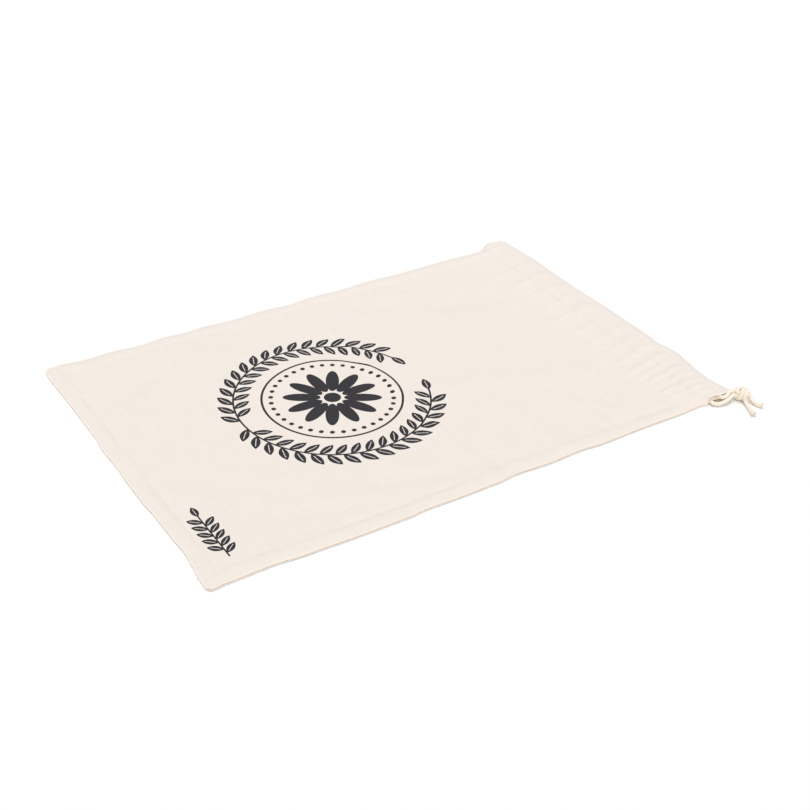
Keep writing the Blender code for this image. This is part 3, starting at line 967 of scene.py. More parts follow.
        mouth_y = across(np.full((1, 1), half))
        start = outline.mouth(mouth_y) - layers.fold_radius
        upper = self.height(start, mouth_y)
        lower = self.turned_height(layers.fold_radius, 0 * mouth_y)
        angles = np.linspace(0, math.pi, self.fold_steps + 2)[1:-1, None]
        middle, reach = (upper + lower) / 2, (upper - lower) / 2
        for sheet, radius, rise in (
            (outer, layers.fold_radius, reach),
            (inner, layers.fold_radius - layers.thin_cloth, reach - inwards),
        ):
            rolled_x = start + radius * np.sin(angles)
            rolled_z = middle + rise * np.cos(angles)
            sheet.append(np.stack(np.broadcast_arrays(rolled_x, mouth_y, rolled_z), 2))
        outer.append(np.stack([turned_x, turned_y, low], 2))
        inner.append(np.stack([turned_x, turned_y, low + inwards * kept], 2))
        outer_all, inner_all = (self.with_lip(np.concatenate(rows)) for rows in (outer, inner))
        outer_glow = self.seam_glow(outer_all[..., 0], outer_all[..., 1])
        # Painted glow lightens the shaded inside of the open hem.
        warm = self.inside_glow(inner_all[..., 0], inner_all[..., 1])
        inner_glow = np.maximum(outer_glow, warm)
        first_turned = len(outer_all) - len(self.turned)
        outer_glow[first_turned:] = inner_glow[first_turned:]
        return outer_all, inner_all, np.stack([outer_glow, inner_glow])

    def build(self, bench: Bench) -> Piece:
        """Makes the sheet as one closed thin shell.

        Args:
            bench: Where it is put together.

        Returns:
            The sheet.
        """
        outer, inner, seam = self.grid()
        columns, rows = outer.shape[:2]
        points = np.concatenate([outer.reshape(-1, 3), inner.reshape(-1, 3)])
        number = np.arange(columns * rows).reshape(columns, rows)
        quads = np.stack([number[:-1, :-1], number[1:, :-1], number[1:, 1:], number[:-1, 1:]], 2)
        quads = quads.reshape(-1, 4)
        rim = np.concatenate([number[:-1, 0], number[-1, :-1], number[:0:-1, -1], number[0, :0:-1]])
        onwards, under = np.roll(rim, -1), columns * rows
        sides = np.stack([onwards, rim, rim + under, onwards + under], 1)
        faces = np.concatenate([quads, quads[:, ::-1] + under, sides])
        if self.face is Face.DOWN:
            faces = faces[:, ::-1]
        # The share of painted glow goes on the mesh.
        shares = {GLOW_LAYER: seam.ravel()}
        piece = bench.place(self.name, points, faces.tolist(), [self.replaced], shares)
        flat = tuple(side * MM for side in self.flat)
        return piece


@dataclass
class FrontPanel(ClothPanel):
    """The printed panel on top, with the folds pressed into it and the gathers of its hem."""

    name: str = "front_sheet"
    face: Face = Face.UP
    replaced: str = "front_panel"
    pitch_along: float = 2.1
    pitch_across: float = 1.95
    # The sewn rim lies this high above the table; the open hem's rim turns down by open_drop.
    rim_top: float = 1.65
    rim_foot: float = 1.28
    roll_reach: float = 6.5
    roll_growth: float = 1.1
    open_drop: float = 0.4
    open_reach: float = 2.4
    # From its fold inwards, the mouth's rise over the cords ends here and its droop there.
    mouth_rise: float = 7.2
    mouth_droop: float = 5.7
    mouth_drop: float = 0.6
    # The knotted cord draws the hem's upper and lower cloth up at the near corner.
    lip_rise: float = 0.4
    lip_reach: float = 16.0
    lip_insets: tuple[float, float] = (1.5, 24.0)
    lip_peak: float = 1.5
    groove_depth: float = 0.35
    least_cloth: float = 0.3
    lining_rise: float = 2.7
    lining_insets: tuple[float, float] = (1.5, 14.5)
    lining_reach: float = 13.0
    # Puckers of the seams add two waves: how the first strays, and the second's start and share.
    pucker_waves: tuple[float, float] = (2.05, 3.4)
    pucker_stray: tuple[float, float] = (1.7, 13.0)
    pucker_start: float = 0.9
    pucker_share: float = 0.6
    side_pucker: float = 0.11
    bottom_pucker: float = 0.1
    pucker_rise: tuple[float, float] = (1.5, 5.0)
    pucker_fall: tuple[float, float] = (8.0, 17.0)
    main_folds: tuple[Fold, ...] = folds(
        (224, -150, 226, 150, 9, 0.55),
        (290, -142, 284, -70, 10, 0.4),
        (338, -138, 334, -96, 8, 0.5),
        (140, -128, 60, -60, 22, 0.5),
        (90, 112, 185, 60, 26, 0.5),
        (330, 20, 300, 120, 20, 0.6),
        (398, -86, 430, -82, 7, 0.9),
        (400, -104, 432, -104, 5, 0.6),
        (402, -122, 430, -125, 5, 0.6),
        (400, 10, 432, 14, 8, 0.6),
        (402, 78, 430, 74, 8, 0.7),
    )
    # Finer folds: the crest of the middle crease, troughs inside the seams, soft swells of the
    # field, and the hem's gathers from the near side to the far one.
    fine_folds: tuple[Fold, ...] = folds(
        (223.4, -150, 225, 150, 2.4, 0.3),
        (215, -150, 217, 20, 8, -0.4),
        (214, -20, 217, 150, 8, -0.35),
        (336, -146, 335, -98, 3.0, 0.3),
        (289, -140, 285, -96, 3.4, 0.16),
        (342, -142, 344, -112, 5, -0.5),
        (100, -138.5, 190, -138.2, 5, -0.6),
        (332, -138.5, 392, -138.0, 6.5, -0.7),
        (372, -139.0, 418, -140.0, 5, -0.6),
        (12.5, -112, 12.8, -30, 4.5, -0.6),
        (13.0, 20, 12.6, 96, 4.5, -0.5),
        (60, 137, 150, 136.6, 5, -0.5),
        (204, 136.8, 300, 137, 5, -0.5),
        (26, -30, 96, -92, 16, -0.75),
        (150, -112, 236, -128, 14, -0.75),
        (30, 78, 120, 128, 18, -0.6),
        (250, 120, 372, 64, 20, -0.7),
        (262, -30, 372, -66, 18, 0.7),
        (70, -108, 150, -134, 9, -0.5),
        (176, -104, 222, -136, 8, 0.5),
        (300, -120, 330, -92, 8, -0.5),
        (372, -140, 384, -60, 9, -0.5),
        (404, -138, 432, -142, 4.0, 0.7),
        (399, -130, 430, -133, 3.6, 0.95),
        (402, -121, 434, -124, 3.4, 0.8),
        (400, -112, 434, -114, 3.8, 1.0),
        (404, -103, 436, -105, 3.2, 0.7),
        (398, -95, 434, -92, 3.8, 1.05),
        (402, -84, 436, -83, 3.4, 0.8),
        (400, -70, 438, -66, 4.4, 0.95),
        (402, -54, 436, -50, 4.0, 0.7),
        (399, -34, 437, -33, 5.0, 0.8),
        (402, -14, 436, -12, 4.4, 0.65),
        (400, 8, 436, 10, 4.6, 0.7),
        (399, 30, 436, 33, 4.2, 0.75),
        (401, 52, 436, 50, 5.0, 0.7),
        (400, 74, 437, 76, 4.4, 0.8),
        (400, 97, 437, 99, 4.2, 0.75),
        (402, 118, 436, 116, 3.8, 0.7),
        (400, 136, 434, 138, 4.0, 0.8),
    )

    def lifts(self, x: Points, y: Points) -> Points:
        """Sum of all the folds at places on the panel."""
        lift = np.zeros(np.broadcast(x, y).shape)
        along = x + self.outline.length / 2
        for fold in (*self.main_folds, *self.fine_folds):
            run_x, run_y = fold.x2 - fold.x1, fold.y2 - fold.y1
            length = run_x * run_x + run_y * run_y
            share = np.clip(((along - fold.x1) * run_x + (y - fold.y1) * run_y) / length, 0, 1)
            away = np.hypot(along - fold.x1 - run_x * share, y - fold.y1 - run_y * share)
            lift += fold.height * (1 - smooth(away, 0, fold.width))
        return lift

    def seam_ripple(self, x: Points, y: Points) -> Points:
        """Small uneven puckers beside the sewn sides, where the thread draws the cloth up."""
        outline, (first, second) = self.outline, self.pucker_waves
        stray, stray_wave = self.pucker_stray
        from_side = np.minimum(y - outline.near(x), outline.far(x) - y)
        from_bottom = x - outline.bottom(y)
        ripple = np.zeros(np.broadcast(x, y).shape)
        for away, run, size in (
            (from_side, x, self.side_pucker),
            (from_bottom, y, self.bottom_pucker),
        ):
            wave = np.sin(run / first + stray * np.sin(run / stray_wave))
            wave = wave + self.pucker_share * np.sin(run / second + self.pucker_start)
            beside = smooth(away, *self.pucker_rise) * (1 - smooth(away, *self.pucker_fall))
            ripple += size * wave * beside
        return ripple

    def plain_height(self, x: Points, y: Points) -> Points:
        """Upper face before its edges roll down."""
        layers, outline = self.layers, self.outline
        inset, field_top = outline.mouth(y) - x, layers.pitch
        hem, land = layers.hem_depth, layers.hem_land
        on_hem = 1 - smooth(inset, hem + land, hem + layers.hem_slope)
        past_cord = 1 - smooth(inset, layers.back_cord + layers.cord_margin, hem - land)
        at_mouth = smooth(inset, layers.fold_radius, self.mouth_rise)
        height = field_top + (layers.hem_top - field_top) * on_hem
        height = height + layers.tunnel_rise * past_cord * at_mouth + self.lifts(x, y)
        droop = 1 - smooth(inset, layers.fold_radius, self.mouth_droop)
        height = height - self.mouth_drop * droop
        drawn_up = self.lip_rise * arch(inset, *self.lip_insets) ** self.lip_peak
        height = height + drawn_up * (1 - smooth(y - outline.near(x), 0, self.lip_reach))
        border = 1 - smooth(outline.inside(x, y), layers.seam_inner, layers.seam_outer)
        along_seam = layers.seam_extra * border + self.seam_ripple(x, y)
        height = height + along_seam * layers.sewn(inset)
        return height - self.groove_depth * layers.in_groove(inset)

    def height(self, x: Points, y: Points) -> Points:
        """Upper face: the plain face with its sewn edges brought down to the table."""
        plain, sewn = self.plain_height(x, y), self.layers.sewn(self.outline.mouth(y) - x)
        drop = plain - self.rim_top
        from_rim = self.outline.inside(x, y)
        sewn_share = 1 - np.clip(from_rim / (self.roll_reach + self.roll_growth * drop), 0, 1)
        open_share = 1 - np.clip(from_rim / self.open_reach, 0, 1)
        open_roll = 1 - np.sqrt(1 - open_share * open_share)
        return plain - drop * sewn_share**2 * sewn - self.open_drop * open_roll * (1 - sewn)

    def inner(self, x: Points, y: Points, outer: Points) -> Points:
        """Lower face: one thin cloth, and down to the back panel where the seam layers lie."""
        layers, inset = self.layers, self.outline.mouth(y) - x
        closed = 1 - smooth(self.outline.inside(x, y), layers.seam_inner, layers.seam_outer)
        closed = closed * smooth(inset, *layers.layers_close)
        thin = self.plain_height(x, y) - layers.thin_cloth
        return np.minimum(thin + (self.rim_foot - thin) * closed, outer - self.least_cloth)

    def turned_height(self, inset: Points, from_near: Points) -> Points:
        """Lower face of the turned-in hem, which the knotted cord draws up beside it."""
        drawn_up = self.lining_rise * arch(inset, *self.lining_insets)
        drawn_up = drawn_up * (1 - smooth(from_near, 0, self.lining_reach))
        return self.layers.front_hem_underside(inset) + drawn_up

    def pressed(self, x: Points, y: Points) -> Points:
        """Share of its full height that the stack of layers keeps at places on it."""
        table = self.layers.cloth
        return (self.height(x, y) - table) / (self.plain_height(x, y) - table)


@dataclass
class BackPanel(ClothPanel):
    """The plain panel that lies on the table."""

    name: str = "back_sheet"
    face: Face = Face.DOWN
    replaced: str = "back_panel"
    seam_lip: float = 0.6
    # The back panel's rim gets little painted glow.
    rim_glow: float = 0.15
    cover: FrontPanel = field(default_factory=FrontPanel)
    pitch_along: float = 4.5
    pitch_across: float = 4.5
    roll_radius: float = 2.4
    roll_depth: float = 0.62
    groove_depth: float = 0.4

    def height(self, x: Points, y: Points) -> Points:
        """Lower face: flat on the table, rolled up a little at its edges."""
        out = 1 - np.clip(self.outline.inside(x, y) / self.roll_radius, 0, 1)
        groove = self.groove_depth * self.layers.in_groove(self.outline.mouth(y) - x)
        return self.roll_depth * (1 - np.sqrt(1 - out * out)) + groove

    def inner(self, x: Points, y: Points, outer: Points) -> Points:
        """Upper face, one cloth above the table."""
        return np.full(np.broadcast(x, y).shape, self.layers.cloth)

    def turned_height(self, inset: Points, from_near: Points) -> Points:
        """Upper face of the turned-in hem, the same from side to side."""
        return self.layers.back_hem_top(inset) + 0 * from_near

    def pressed(self, x: Points, y: Points) -> Points:
        """Share of its full height that the stack of layers keeps under the front panel."""
        return self.cover.pressed(x, y)


@dataclass
class HemStitching:
    """The line of lockstitches that holds a hem down."""

    panel: ClothPanel
    name: str
    stitch: float = 2.6
    hole: float = 0.5
    thread: float = 0.5
    rings: int = 6
    sides: int = 8
    ends_in: float = 4.0
    # The middle of a stitch stands up this high, its ends lie this deep, and its thread is flat.
    crown: float = 0.16
    depth: float = 0.1
    flatness: float = 0.7
    least_swell: float = 0.02

    def build(self, bench: Bench) -> Piece:
        """Makes the stitches as one piece.

        Args:
            bench: Where it is put together.

        Returns:
            The line of stitches.
        """
        outline, inset = self.panel.outline, self.panel.layers.stitch_inset
        middle_x = np.array(outline.length / 2 - inset)
        start, end = outline.near(middle_x) + self.ends_in, outline.far(middle_x) - self.ends_in
        pitch = self.stitch + self.hole
        outwards = 1 if self.panel.face is Face.UP else -1
        share = np.linspace(0, 1, self.rings)
        # The thread dives into the cloth at both ends of a stitch.
        swell = np.sqrt(np.clip(1 - (2 * share - 1) ** 4, self.least_swell, 1))
        angle = np.linspace(0, math.tau, self.sides, endpoint=False)
        radius = self.thread / 2 * swell[:, None]
        points, faces = [], []
        for index in range(int((end - start) / pitch)):
            y = start + index * pitch + self.stitch * share
            x = outline.mouth(y) - inset
            z = self.panel.height(x, y) + outwards * (self.crown * swell - self.depth)
            ring_x = x[:, None] + radius * np.cos(angle)
            ring_z = z[:, None] + self.flatness * radius * np.sin(angle)
            ring_y = np.broadcast_to(y[:, None], ring_x.shape)
            faces.extend(tube_faces(self.rings, self.sides, len(points)))
            points.extend(np.stack([ring_x, ring_y, ring_z], 2).reshape(-1, 3).tolist())
        return bench.place(self.name, np.array(points), faces)


# ---------------------------------------------------------------- the cord


def tube_faces(rings: int, sides: int, base: int = 0) -> list[list[int]]:
    """Faces of a closed tube whose vertices lie ring after ring.

    Args:
        rings: How many rings it has.
        sides: How many vertices each ring has.
        base: Number of its first vertex.

    Returns:
        The faces, with both ends closed.
    """
    faces = []
    for ring in range(rings - 1):
        for side in range(sides):
            here, along = base + ring * sides + side, base + ring * sides + (side + 1) % sides
            faces.append([here, here + sides, along + sides, along])
    faces.append([base + side for side in range(sides)])
    faces.append([base + (rings - 1) * sides + side for side in reversed(range(sides))])
    return faces


def smooth_route(
    route: Sequence[Sequence[float]], step: float, easings: int = 0, fineness: int = 24
) -> Points:
    """Evenly spaced points on a smooth curve through the points of a route.

    Args:
        route: The points that the curve passes through.
        step: About how far apart the new points are.
        easings: How often each point is drawn to its neighbours, which opens tight bends.
        fineness: How many steps the curve is first worked out in between two points.

    Returns:
        The new points, one row each.
    """
    points = np.array(route, float)
    ends = np.vstack([2 * points[0] - points[1], points, 2 * points[-1] - points[-2]])
    fine = []
    for p0, p1, p2, p3 in zip(ends, ends[1:], ends[2:], ends[3:]):
        t = np.linspace(0, 1, fineness, endpoint=False)[:, None]
        bend = (2 * p0 - 5 * p1 + 4 * p2 - p3) * t**2 + (3 * p1 - p0 - 3 * p2 + p3) * t**3
        fine.append((2 * p1 + (p2 - p0) * t + bend) / 2)
    line = np.vstack([*fine, points[-1:]])
    at = travelled(line)
    even = np.linspace(0, at[-1], max(3, round(at[-1] / step)) + 1)
    line = np.stack([np.interp(even, at, line[:, axis]) for axis in range(3)], 1)
    for _ in range(easings):
        line[1:-1] = (line[:-2] + 2 * line[1:-1] + line[2:]) / 4
    return line


@dataclass(frozen=True)
class PliedSection:
    """Section of a cord of three plies laid round each other."""

    plies: int = 3
    ply_radius: float = 1.26
    ply_offset: float = 0.31
    mean_radius: float = 1.5
    sides: int = 24
    turn_length: float = 9.0

    def radius(self, angle: Points) -> Points:
        """Distance of the surface from the cord's centre: 1.57 mm on a crown, 1.39 in a groove."""
        sector = math.tau / self.plies
        turn = (angle + sector / 2) % sector - sector / 2
        inner = self.ply_radius**2 - (self.ply_offset * np.sin(turn)) ** 2
        return self.ply_offset * np.cos(turn) + np.sqrt(inner)

    def groove(self, angle: Points) -> Points:
        """0 on the crown of a ply and 1 in the groove between two."""
        crown, low = self.radius(np.array(0.0)), self.radius(np.array(math.pi / self.plies))
        return (crown - self.radius(angle)) / (crown - low)


@dataclass
class CordPiece:
    """A stretch of cord along a line, its plies turning round each other."""

    name: str
    line: Points
    section: PliedSection = field(default_factory=PliedSection)
    widths: Points | None = None
    heights: Points | None = None
    level: bool = False

    def frames(self) -> tuple[Points, Points]:
        """Two directions square to the line at each of its points.

        Returns:
            The sideways and the upward direction at each point.
        """
        tangents = np.gradient(self.line, axis=0)
        tangents /= np.linalg.norm(tangents, axis=1)[:, None]
        up = np.array([0.0, 0.0, 1.0])
        side = np.cross(tangents[0], up)
        sideways = []
        for tangent in tangents:
            side = np.cross(tangent, up) if self.level else side - tangent * (side @ tangent)
            side = side / np.linalg.norm(side)
            sideways.append(side)
        across = np.array(sideways)
        return across, np.cross(across, tangents)

    def build(self, bench: Bench, replaced: Sequence[str]) -> Piece:
        """Makes the stretch of cord.

        Args:
            bench: Where it is put together.
            replaced: The part's nodes that it stands for.

        Returns:
            The stretch of cord.
        """
        count, section, at = len(self.line), self.section, travelled(self.line)
        angle = np.linspace(0, math.tau, section.sides, endpoint=False)
        turned = angle[None, :] + (math.tau * at / section.turn_length)[:, None]
        wide = np.ones(count) if self.widths is None else self.widths
        high = wide if self.heights is None else self.heights
        points = self.line[:, None, :]
        for way, wave, size in zip(self.frames(), (np.cos, np.sin), (wide, high)):
            reach = section.radius(angle) * wave(turned) * size[:, None]
            points = points + way[:, None, :] * reach[..., None]
        flat = [section.mean_radius * wave(angle)[None, :] for wave in (np.cos, np.sin)]
        local = np.stack(np.broadcast_arrays(*flat, at[:, None]), 2).reshape(-1, 3)
        # The groove's depth sets the cord's painted shade.
        layers = {GROOVE_LAYER: np.tile(section.groove(angle), count), STRAND_LAYER: local}
        faces = tube_faces(count, section.sides)
        return bench.place(self.name, points.reshape(-1, 3), faces, replaced, layers)


@dataclass
class Fray:
    """The loose fibres at a cut end of the cord."""

    name: str
    end: Points
    way: Points
    seed: int
    count: int = 70
    sides: int = 4
    rings: int = 5
    # The fibres start this far inside the cord's end, within their root circle.
    inside: float = 0.8
    root_circle: float = 1.35
    shortest: float = 0.35
    longest: float = 2.2
    spread: float = 0.55
    middle_lean: float = 0.4
    stray: float = 0.16
    curl_aside: float = 0.3
    curl_up: tuple[float, float] = (-0.2, 0.25)
    thickness: float = 0.3
    taper: float = 0.6
    floor: float = 0.14

    def build(self, bench: Bench) -> Piece:
        """Makes the fibres as one piece.

        Args:
            bench: Where it is put together.

        Returns:
            The tuft of fibres.
        """
        draw = random.Random(self.seed)
        points, faces = [], []
        side = np.cross(self.way, [0, 0, 1.0])
        side /= np.linalg.norm(side)
        up = np.cross(side, self.way)

        def aim(aside: float, above: float) -> Points:
            return side * aside + up * above

        for _ in range(self.count):
            angle, out = draw.uniform(0, math.tau), math.sqrt(draw.random())
            cosine, sine = math.cos(angle), math.sin(angle)
            root = self.end + aim(cosine, sine) * (self.root_circle * out)
            lean = self.spread * (self.middle_lean + out)
            way = self.way + side * (lean * cosine + draw.gauss(0, self.stray))
            way = way + up * (lean * sine + draw.gauss(0, self.stray))
            way /= np.linalg.norm(way)
            length = self.longest * draw.uniform(self.shortest, 1.0)
            curl = side * draw.gauss(0, self.curl_aside) + up * draw.gauss(*self.curl_up)
            faces.extend(tube_faces(self.rings, self.sides, len(points)))
            for share in np.linspace(0, 1, self.rings):
                run = way * (length + self.inside) * share + curl * length * share**2
                middle = root - self.way * self.inside + run
                radius = self.thickness / 2 * (1 - self.taper * share)
                middle[2] = max(middle[2], self.floor + radius)
                for turn in np.linspace(0, math.tau, self.sides, endpoint=False):
                    points.append(middle + aim(math.cos(turn), math.sin(turn)) * radius)
        # The fibres carry none of the cord's painted groove shade.
        grooves = np.zeros(len(points))
        return bench.place(self.name, np.array(points), faces, layers={GROOVE_LAYER: grooves})


@dataclass
class Drawstring:
    """The whole cord: its way through the hem, the two free strands, the knot and the tails."""

    diameter: float = 3.0
    step: float = 0.4
    easings: int = 9
    knot_centre: tuple[float, float, float] = (225.8, -156.8, 5.75)
    knot_axis: tuple[float, float, float] = (0.80, -0.60, 0.0)
    knot_core: float = 1.55
    knot_swell: float = 1.12
    # In the hem the strands are a little narrower and flatter, which ends between these lengths.
    in_hem: tuple[float, float] = (2.0, 8.0)
    hem_narrowing: float = 0.08
    hem_flattening: float = 0.16
    # Round the knot's middle the strands swell, and near their cut ends they open.
    in_knot: tuple[float, float] = (5.0, 8.5)
    flare_length: float = 6.0
    end_flare: float = 0.3
    # The loose fibres look the way that the cord's last points lie.
    end_points: int = 4
    first_seed: int = 11
    run_start: float = -144.0
    run_step: float = 1.6
    run_spacing: float = 8.0
    run_lift: float = 1.0
    # The knot draws both strands this far back from the mouth, and the run eases out again.
    run_aside: float = 3.2
    run_easing: float = 34.0
    run_wide: float = 1.13
    run_high: float = 0.66
    run_sides: int = 16
    far_loop: float = 5.0
    loop_points: int = 9
    strand_front: Route = (
        (209.0, -144.0, 5.2), (208.8, -147.5, 5.3), (208.3, -150.9, 5.3), (209.0, -152.8, 5.3),
        (211.6, -153.6, 5.5), (215.0, -152.8, 6.3), (218.3, -151.5, 7.0),
    )
    strand_back: Route = (
        (200.2, -144.0, 2.45), (200.2, -147.5, 2.6), (200.3, -151.0, 2.9), (200.7, -153.0, 2.5),
        (203.0, -154.9, 2.2), (207.0, -155.9, 2.7), (211.5, -156.0, 3.4), (215.8, -155.2, 4.1),
        (218.9, -153.8, 4.5),
    )
    tail_long: Route = (
        (223.5, -164.8, 2.2), (221.8, -169.0, 1.8), (219.7, -174.0, 1.75), (217.8, -178.4, 2.15),
    )
    tail_short: Route = (
        (229.9, -161.6, 4.4), (229.6, -164.6, 3.2), (229.6, -167.6, 2.4), (230.2, -170.4, 1.9),
        (231.7, -173.4, 2.15),
    )
    # One strand's way through the knot: mm along its axis, distance from it in cores, and turns.
    knot_rows: Route = (
        (-5.8, 1.0, 0.0), (-3.0, 1.0, 0.0), (2.4, 1.0, 0.0), (4.2, 1.7, 0.05), (3.7, 2.5, 0.15),
        (2.6, 2.62, 0.32), (1.4, 2.62, 0.5), (0.2, 2.62, 0.68), (-1.0, 2.62, 0.86),
        (-2.4, 2.5, 1.03), (-3.9, 1.8, 1.16), (-2.6, 1.0, 1.25), (0.6, 1.0, 1.25),
    )
    # The front strand leaves along the axis and the back one between the wraps, below.
    front_exit: Route = ((2.6, 1.0, 1.25), (4.9, 1.0, 1.25))
    back_exit: Route = ((1.9, 1.3, 1.14), (2.6, 2.3, 1.03), (2.7, 3.2, 0.97))
    first_entry: float = 0.375

    def through_knot(self, strand: int) -> list[Points]:
        """The knot's rows for one strand as places.

        Args:
            strand: 0 for the front strand and 1 for the back one, half a turn behind it.

        Returns:
            The places in order.
        """
        axis, up = np.array(self.knot_axis), np.array([0.0, 0.0, 1.0])
        across, centre = np.cross(axis, up), np.array(self.knot_centre)
        entry = self.first_entry + strand / 2
        exit_rows = self.back_exit if strand else self.front_exit
        route = []
        for axial, radius, turn in (*self.knot_rows, *exit_rows):
            angle = math.tau * (entry - turn)
            outwards = across * math.cos(angle) + up * math.sin(angle)
            route.append(centre + axis * axial + outwards * radius * self.knot_core)
        return route

    def free_cord(self, name: str, strand: int, bench: Bench, replaced: Sequence[str]) -> Piece:
        """Args:
            name: The piece's name.
            strand: 0 for the front strand and 1 for the back one.
            bench: Where it is put together.
            replaced: The part's nodes that it stands for.

        Returns:
            The strand.
        """
        before = self.strand_back if strand else self.strand_front
        after = self.tail_long if strand else self.tail_short
        line = smooth_route([*before, *self.through_knot(strand), *after], self.step, self.easings)
        at = travelled(line)
        whole = at[-1]
        in_hem = 1 - smooth(at, *self.in_hem)
        from_knot = np.linalg.norm(line - np.array(self.knot_centre), axis=1)
        swell = 1 + (self.knot_swell - 1) * (1 - smooth(from_knot, *self.in_knot))
        flare = 1 + self.end_flare * smooth(at, whole - self.flare_length, whole)
        widths = (1 - self.hem_narrowing * in_hem) * swell * flare
        heights = widths * (1 - self.hem_flattening * in_hem)
        piece = CordPiece(name, line, widths=widths, heights=heights).build(bench, replaced)
        way = line[-1] - line[-self.end_points]
        way /= np.linalg.norm(way)
        fray = Fray(f"{name}_fray", line[-1], way, seed=self.first_seed + strand).build(bench)
        tuple(bench.to_frame(np.array(before[2])))
        LOG.info("%s: %.1f mm of cord", name, whole)
        return piece

    def hidden_run(self, bench: Bench, outline: BagOutline, layers: Layers) -> Piece:
        """Makes the cord inside the two tunnels, with its short loop outside the far side.

        Args:
            bench: Where it is put together.
            outline: The bag's sides.
            layers: How the layers lie.

        Returns:
            The run.
        """
        back_z = layers.cloth + layers.gap + self.run_lift
        front_z = back_z + layers.pitch + layers.hem_clearance
        end = float(outline.far(np.array(outline.length / 2 - layers.front_cord)))
        y = np.linspace(self.run_start, end, round((end - self.run_start) / self.run_spacing))
        eased = smooth(y, self.run_start, self.run_start + self.run_easing)
        mouth = outline.mouth(y) - self.run_aside * (1 - eased)
        front = np.stack([mouth - layers.front_cord, y, np.full_like(y, front_z)], 1)
        back = np.stack([mouth - layers.back_cord, y, np.full_like(y, back_z)], 1)[::-1]
        middle, half = (front[-1] + back[0]) / 2, (front[-1] - back[0]) / 2
        turns = np.linspace(0, math.pi, self.loop_points)[1:-1, None]
        loop = middle + half * np.cos(turns) + np.array([0, self.far_loop, 0]) * np.sin(turns)
        line = smooth_route(np.vstack([front, loop, back]), self.run_step)
        sizes = (np.full(len(line), size) for size in (self.run_wide, self.run_high))
        section = PliedSection(sides=self.run_sides)
        run = CordPiece("drawstring", line, section, *sizes, level=True)
        return run.build(bench, ["drawstring_run"])

    def build(self, bench: Bench, outline: BagOutline, layers: Layers) -> None:
        """Makes every stretch of the cord.

        Args:
            bench: Where it is put together.
            outline: The bag's sides.
            layers: How the layers lie.
        """
        front = ["tie_strand_front", "tie_tail_short", "tie_knot"]
        self.free_cord("cord_front_strand", 0, bench, front)
        self.free_cord("cord_back_strand", 1, bench, ["tie_strand_back", "tie_tail_long"])
        self.hidden_run(bench, outline, layers)


# ---------------------------------------------------------------- the studio


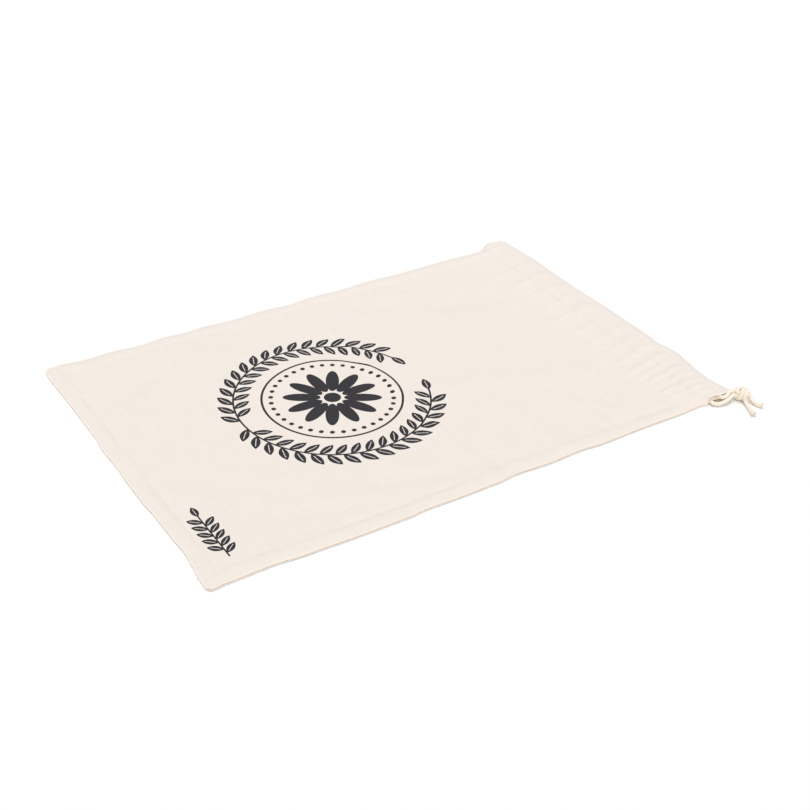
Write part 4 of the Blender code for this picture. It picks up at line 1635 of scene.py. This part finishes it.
@dataclass
class Studio:
    """Camera, white paper and soft lights, in metres and degrees."""

    camera_place: tuple[float, float, float] = (-0.48154, -0.74930, 0.56640)
    heading: float = 56.27
    pitch_down: float = 33.36
    roll: float = 2.02
    focal_length: float = 59.93
    sensor: float = 36.0
    nearest_shown: float = 0.01
    floor_half: float = 12.0
    sky: float = 0.50
    sky_white: str = "#FFFFFF"
    key_place: tuple[float, float, float] = (0.6, 1.2, 4.7)
    key_size: float = 3.6
    key_power: float = 102.0
    front_place: tuple[float, float, float] = (-0.35, -0.62, 0.7)
    front_strength: float = 1.05
    front_spread: float = 40.0

    def camera(self) -> None:
        """Sets the camera where the picture is seen from."""
        heading, pitch, roll = (math.radians(a) for a in (self.heading, self.pitch_down, self.roll))
        level_ahead = Vector((math.cos(heading), math.sin(heading), 0.0))
        ahead = level_ahead * math.cos(pitch) - Vector((0, 0, math.sin(pitch)))
        level = ahead.cross(Vector((0, 0, 1))).normalized()
        above = level.cross(ahead)
        right = level * math.cos(roll) + above * math.sin(roll)
        up = above * math.cos(roll) - level * math.sin(roll)
        lens = bpy.data.cameras.new("camera")
        lens.lens, lens.sensor_width = self.focal_length, self.sensor
        lens.clip_start = self.nearest_shown
        camera = bpy.data.objects.new("camera", lens)
        turned = Matrix((right, up, -ahead)).transposed().to_4x4()
        camera.matrix_world = Matrix.Translation(self.camera_place) @ turned
        bpy.context.scene.collection.objects.link(camera)
        bpy.context.scene.camera = camera

    def light(self, name: str, kind: str, place: Sequence[float], **settings: object) -> None:
        """Hangs one lamp that looks at the bag.

        Args:
            name: The lamp's name.
            kind: The lamp's Blender type.
            place: Where it hangs, in metres.
            **settings: Properties of the lamp itself.
        """
        lamp = bpy.data.lights.new(name, kind)
        for setting, value in settings.items():
            setattr(lamp, setting, value)
        holder = bpy.data.objects.new(name, lamp)
        holder.location = place
        holder.rotation_mode = "QUATERNION"
        holder.rotation_quaternion = (-Vector(place)).to_track_quat("-Z", "Y")
        bpy.context.scene.collection.objects.link(holder)

    def build(self) -> None:
        """Lays the paper and hangs the lights."""
        half = self.floor_half
        mesh = bpy.data.meshes.new("floor")
        corners = [(-half, -half, 0), (half, -half, 0), (half, half, 0), (-half, half, 0)]
        mesh.from_pydata(corners, [], [(0, 1, 2, 3)])
        mesh.materials.append(StudioPaper().build())
        floor = bpy.data.objects.new("floor", mesh)
        bpy.context.scene.collection.objects.link(floor)
        world = bpy.data.worlds.new("white_studio")
        world.use_nodes = True
        sky = world.node_tree.nodes["Background"]
        sky.inputs["Color"].default_value = linear(self.sky_white)
        sky.inputs["Strength"].default_value = self.sky
        bpy.context.scene.world = world
        bpy.context.scene.view_settings.view_transform = "Standard"
        softbox = {"shape": "SQUARE", "size": self.key_size, "energy": self.key_power}
        self.light("key_softbox", "AREA", self.key_place, **softbox)
        # A wide, distant screen in front gives even light.
        screen = {"energy": self.front_strength, "angle": math.radians(self.front_spread)}
        self.light("front_screen", "SUN", self.front_place, **screen)


# ---------------------------------------------------------------- all together


def main() -> None:
    """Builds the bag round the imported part, piece by piece."""
    logging.basicConfig(level=logging.INFO, format="%(name)s %(message)s")
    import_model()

    studio = Studio()
    studio.camera()
    outline, layers = BagOutline(), Layers()
    Drawstring().build(Bench(TwistedCottonCord().build(), "cord"), outline, layers)

    studio.build()
    linen = PlainWeaveLinen()
    prints = (WreathAndDaisy(centre=(-48.2, 0.1)), Sprig(centre=(-199.6, -98.6)))
    front, back = FrontPanel(), BackPanel()
    front.build(Bench(linen.build(prints), "cloth"))
    back.build(Bench(linen.build(), "cloth"))
    thread = Bench(SpunSewingThread().build(), "cloth")
    for panel, name in ((front, "hem_stitches_front"), (back, "hem_stitches_back")):
        HemStitching(panel, name).build(thread)


if __name__ == "__main__":
    main()
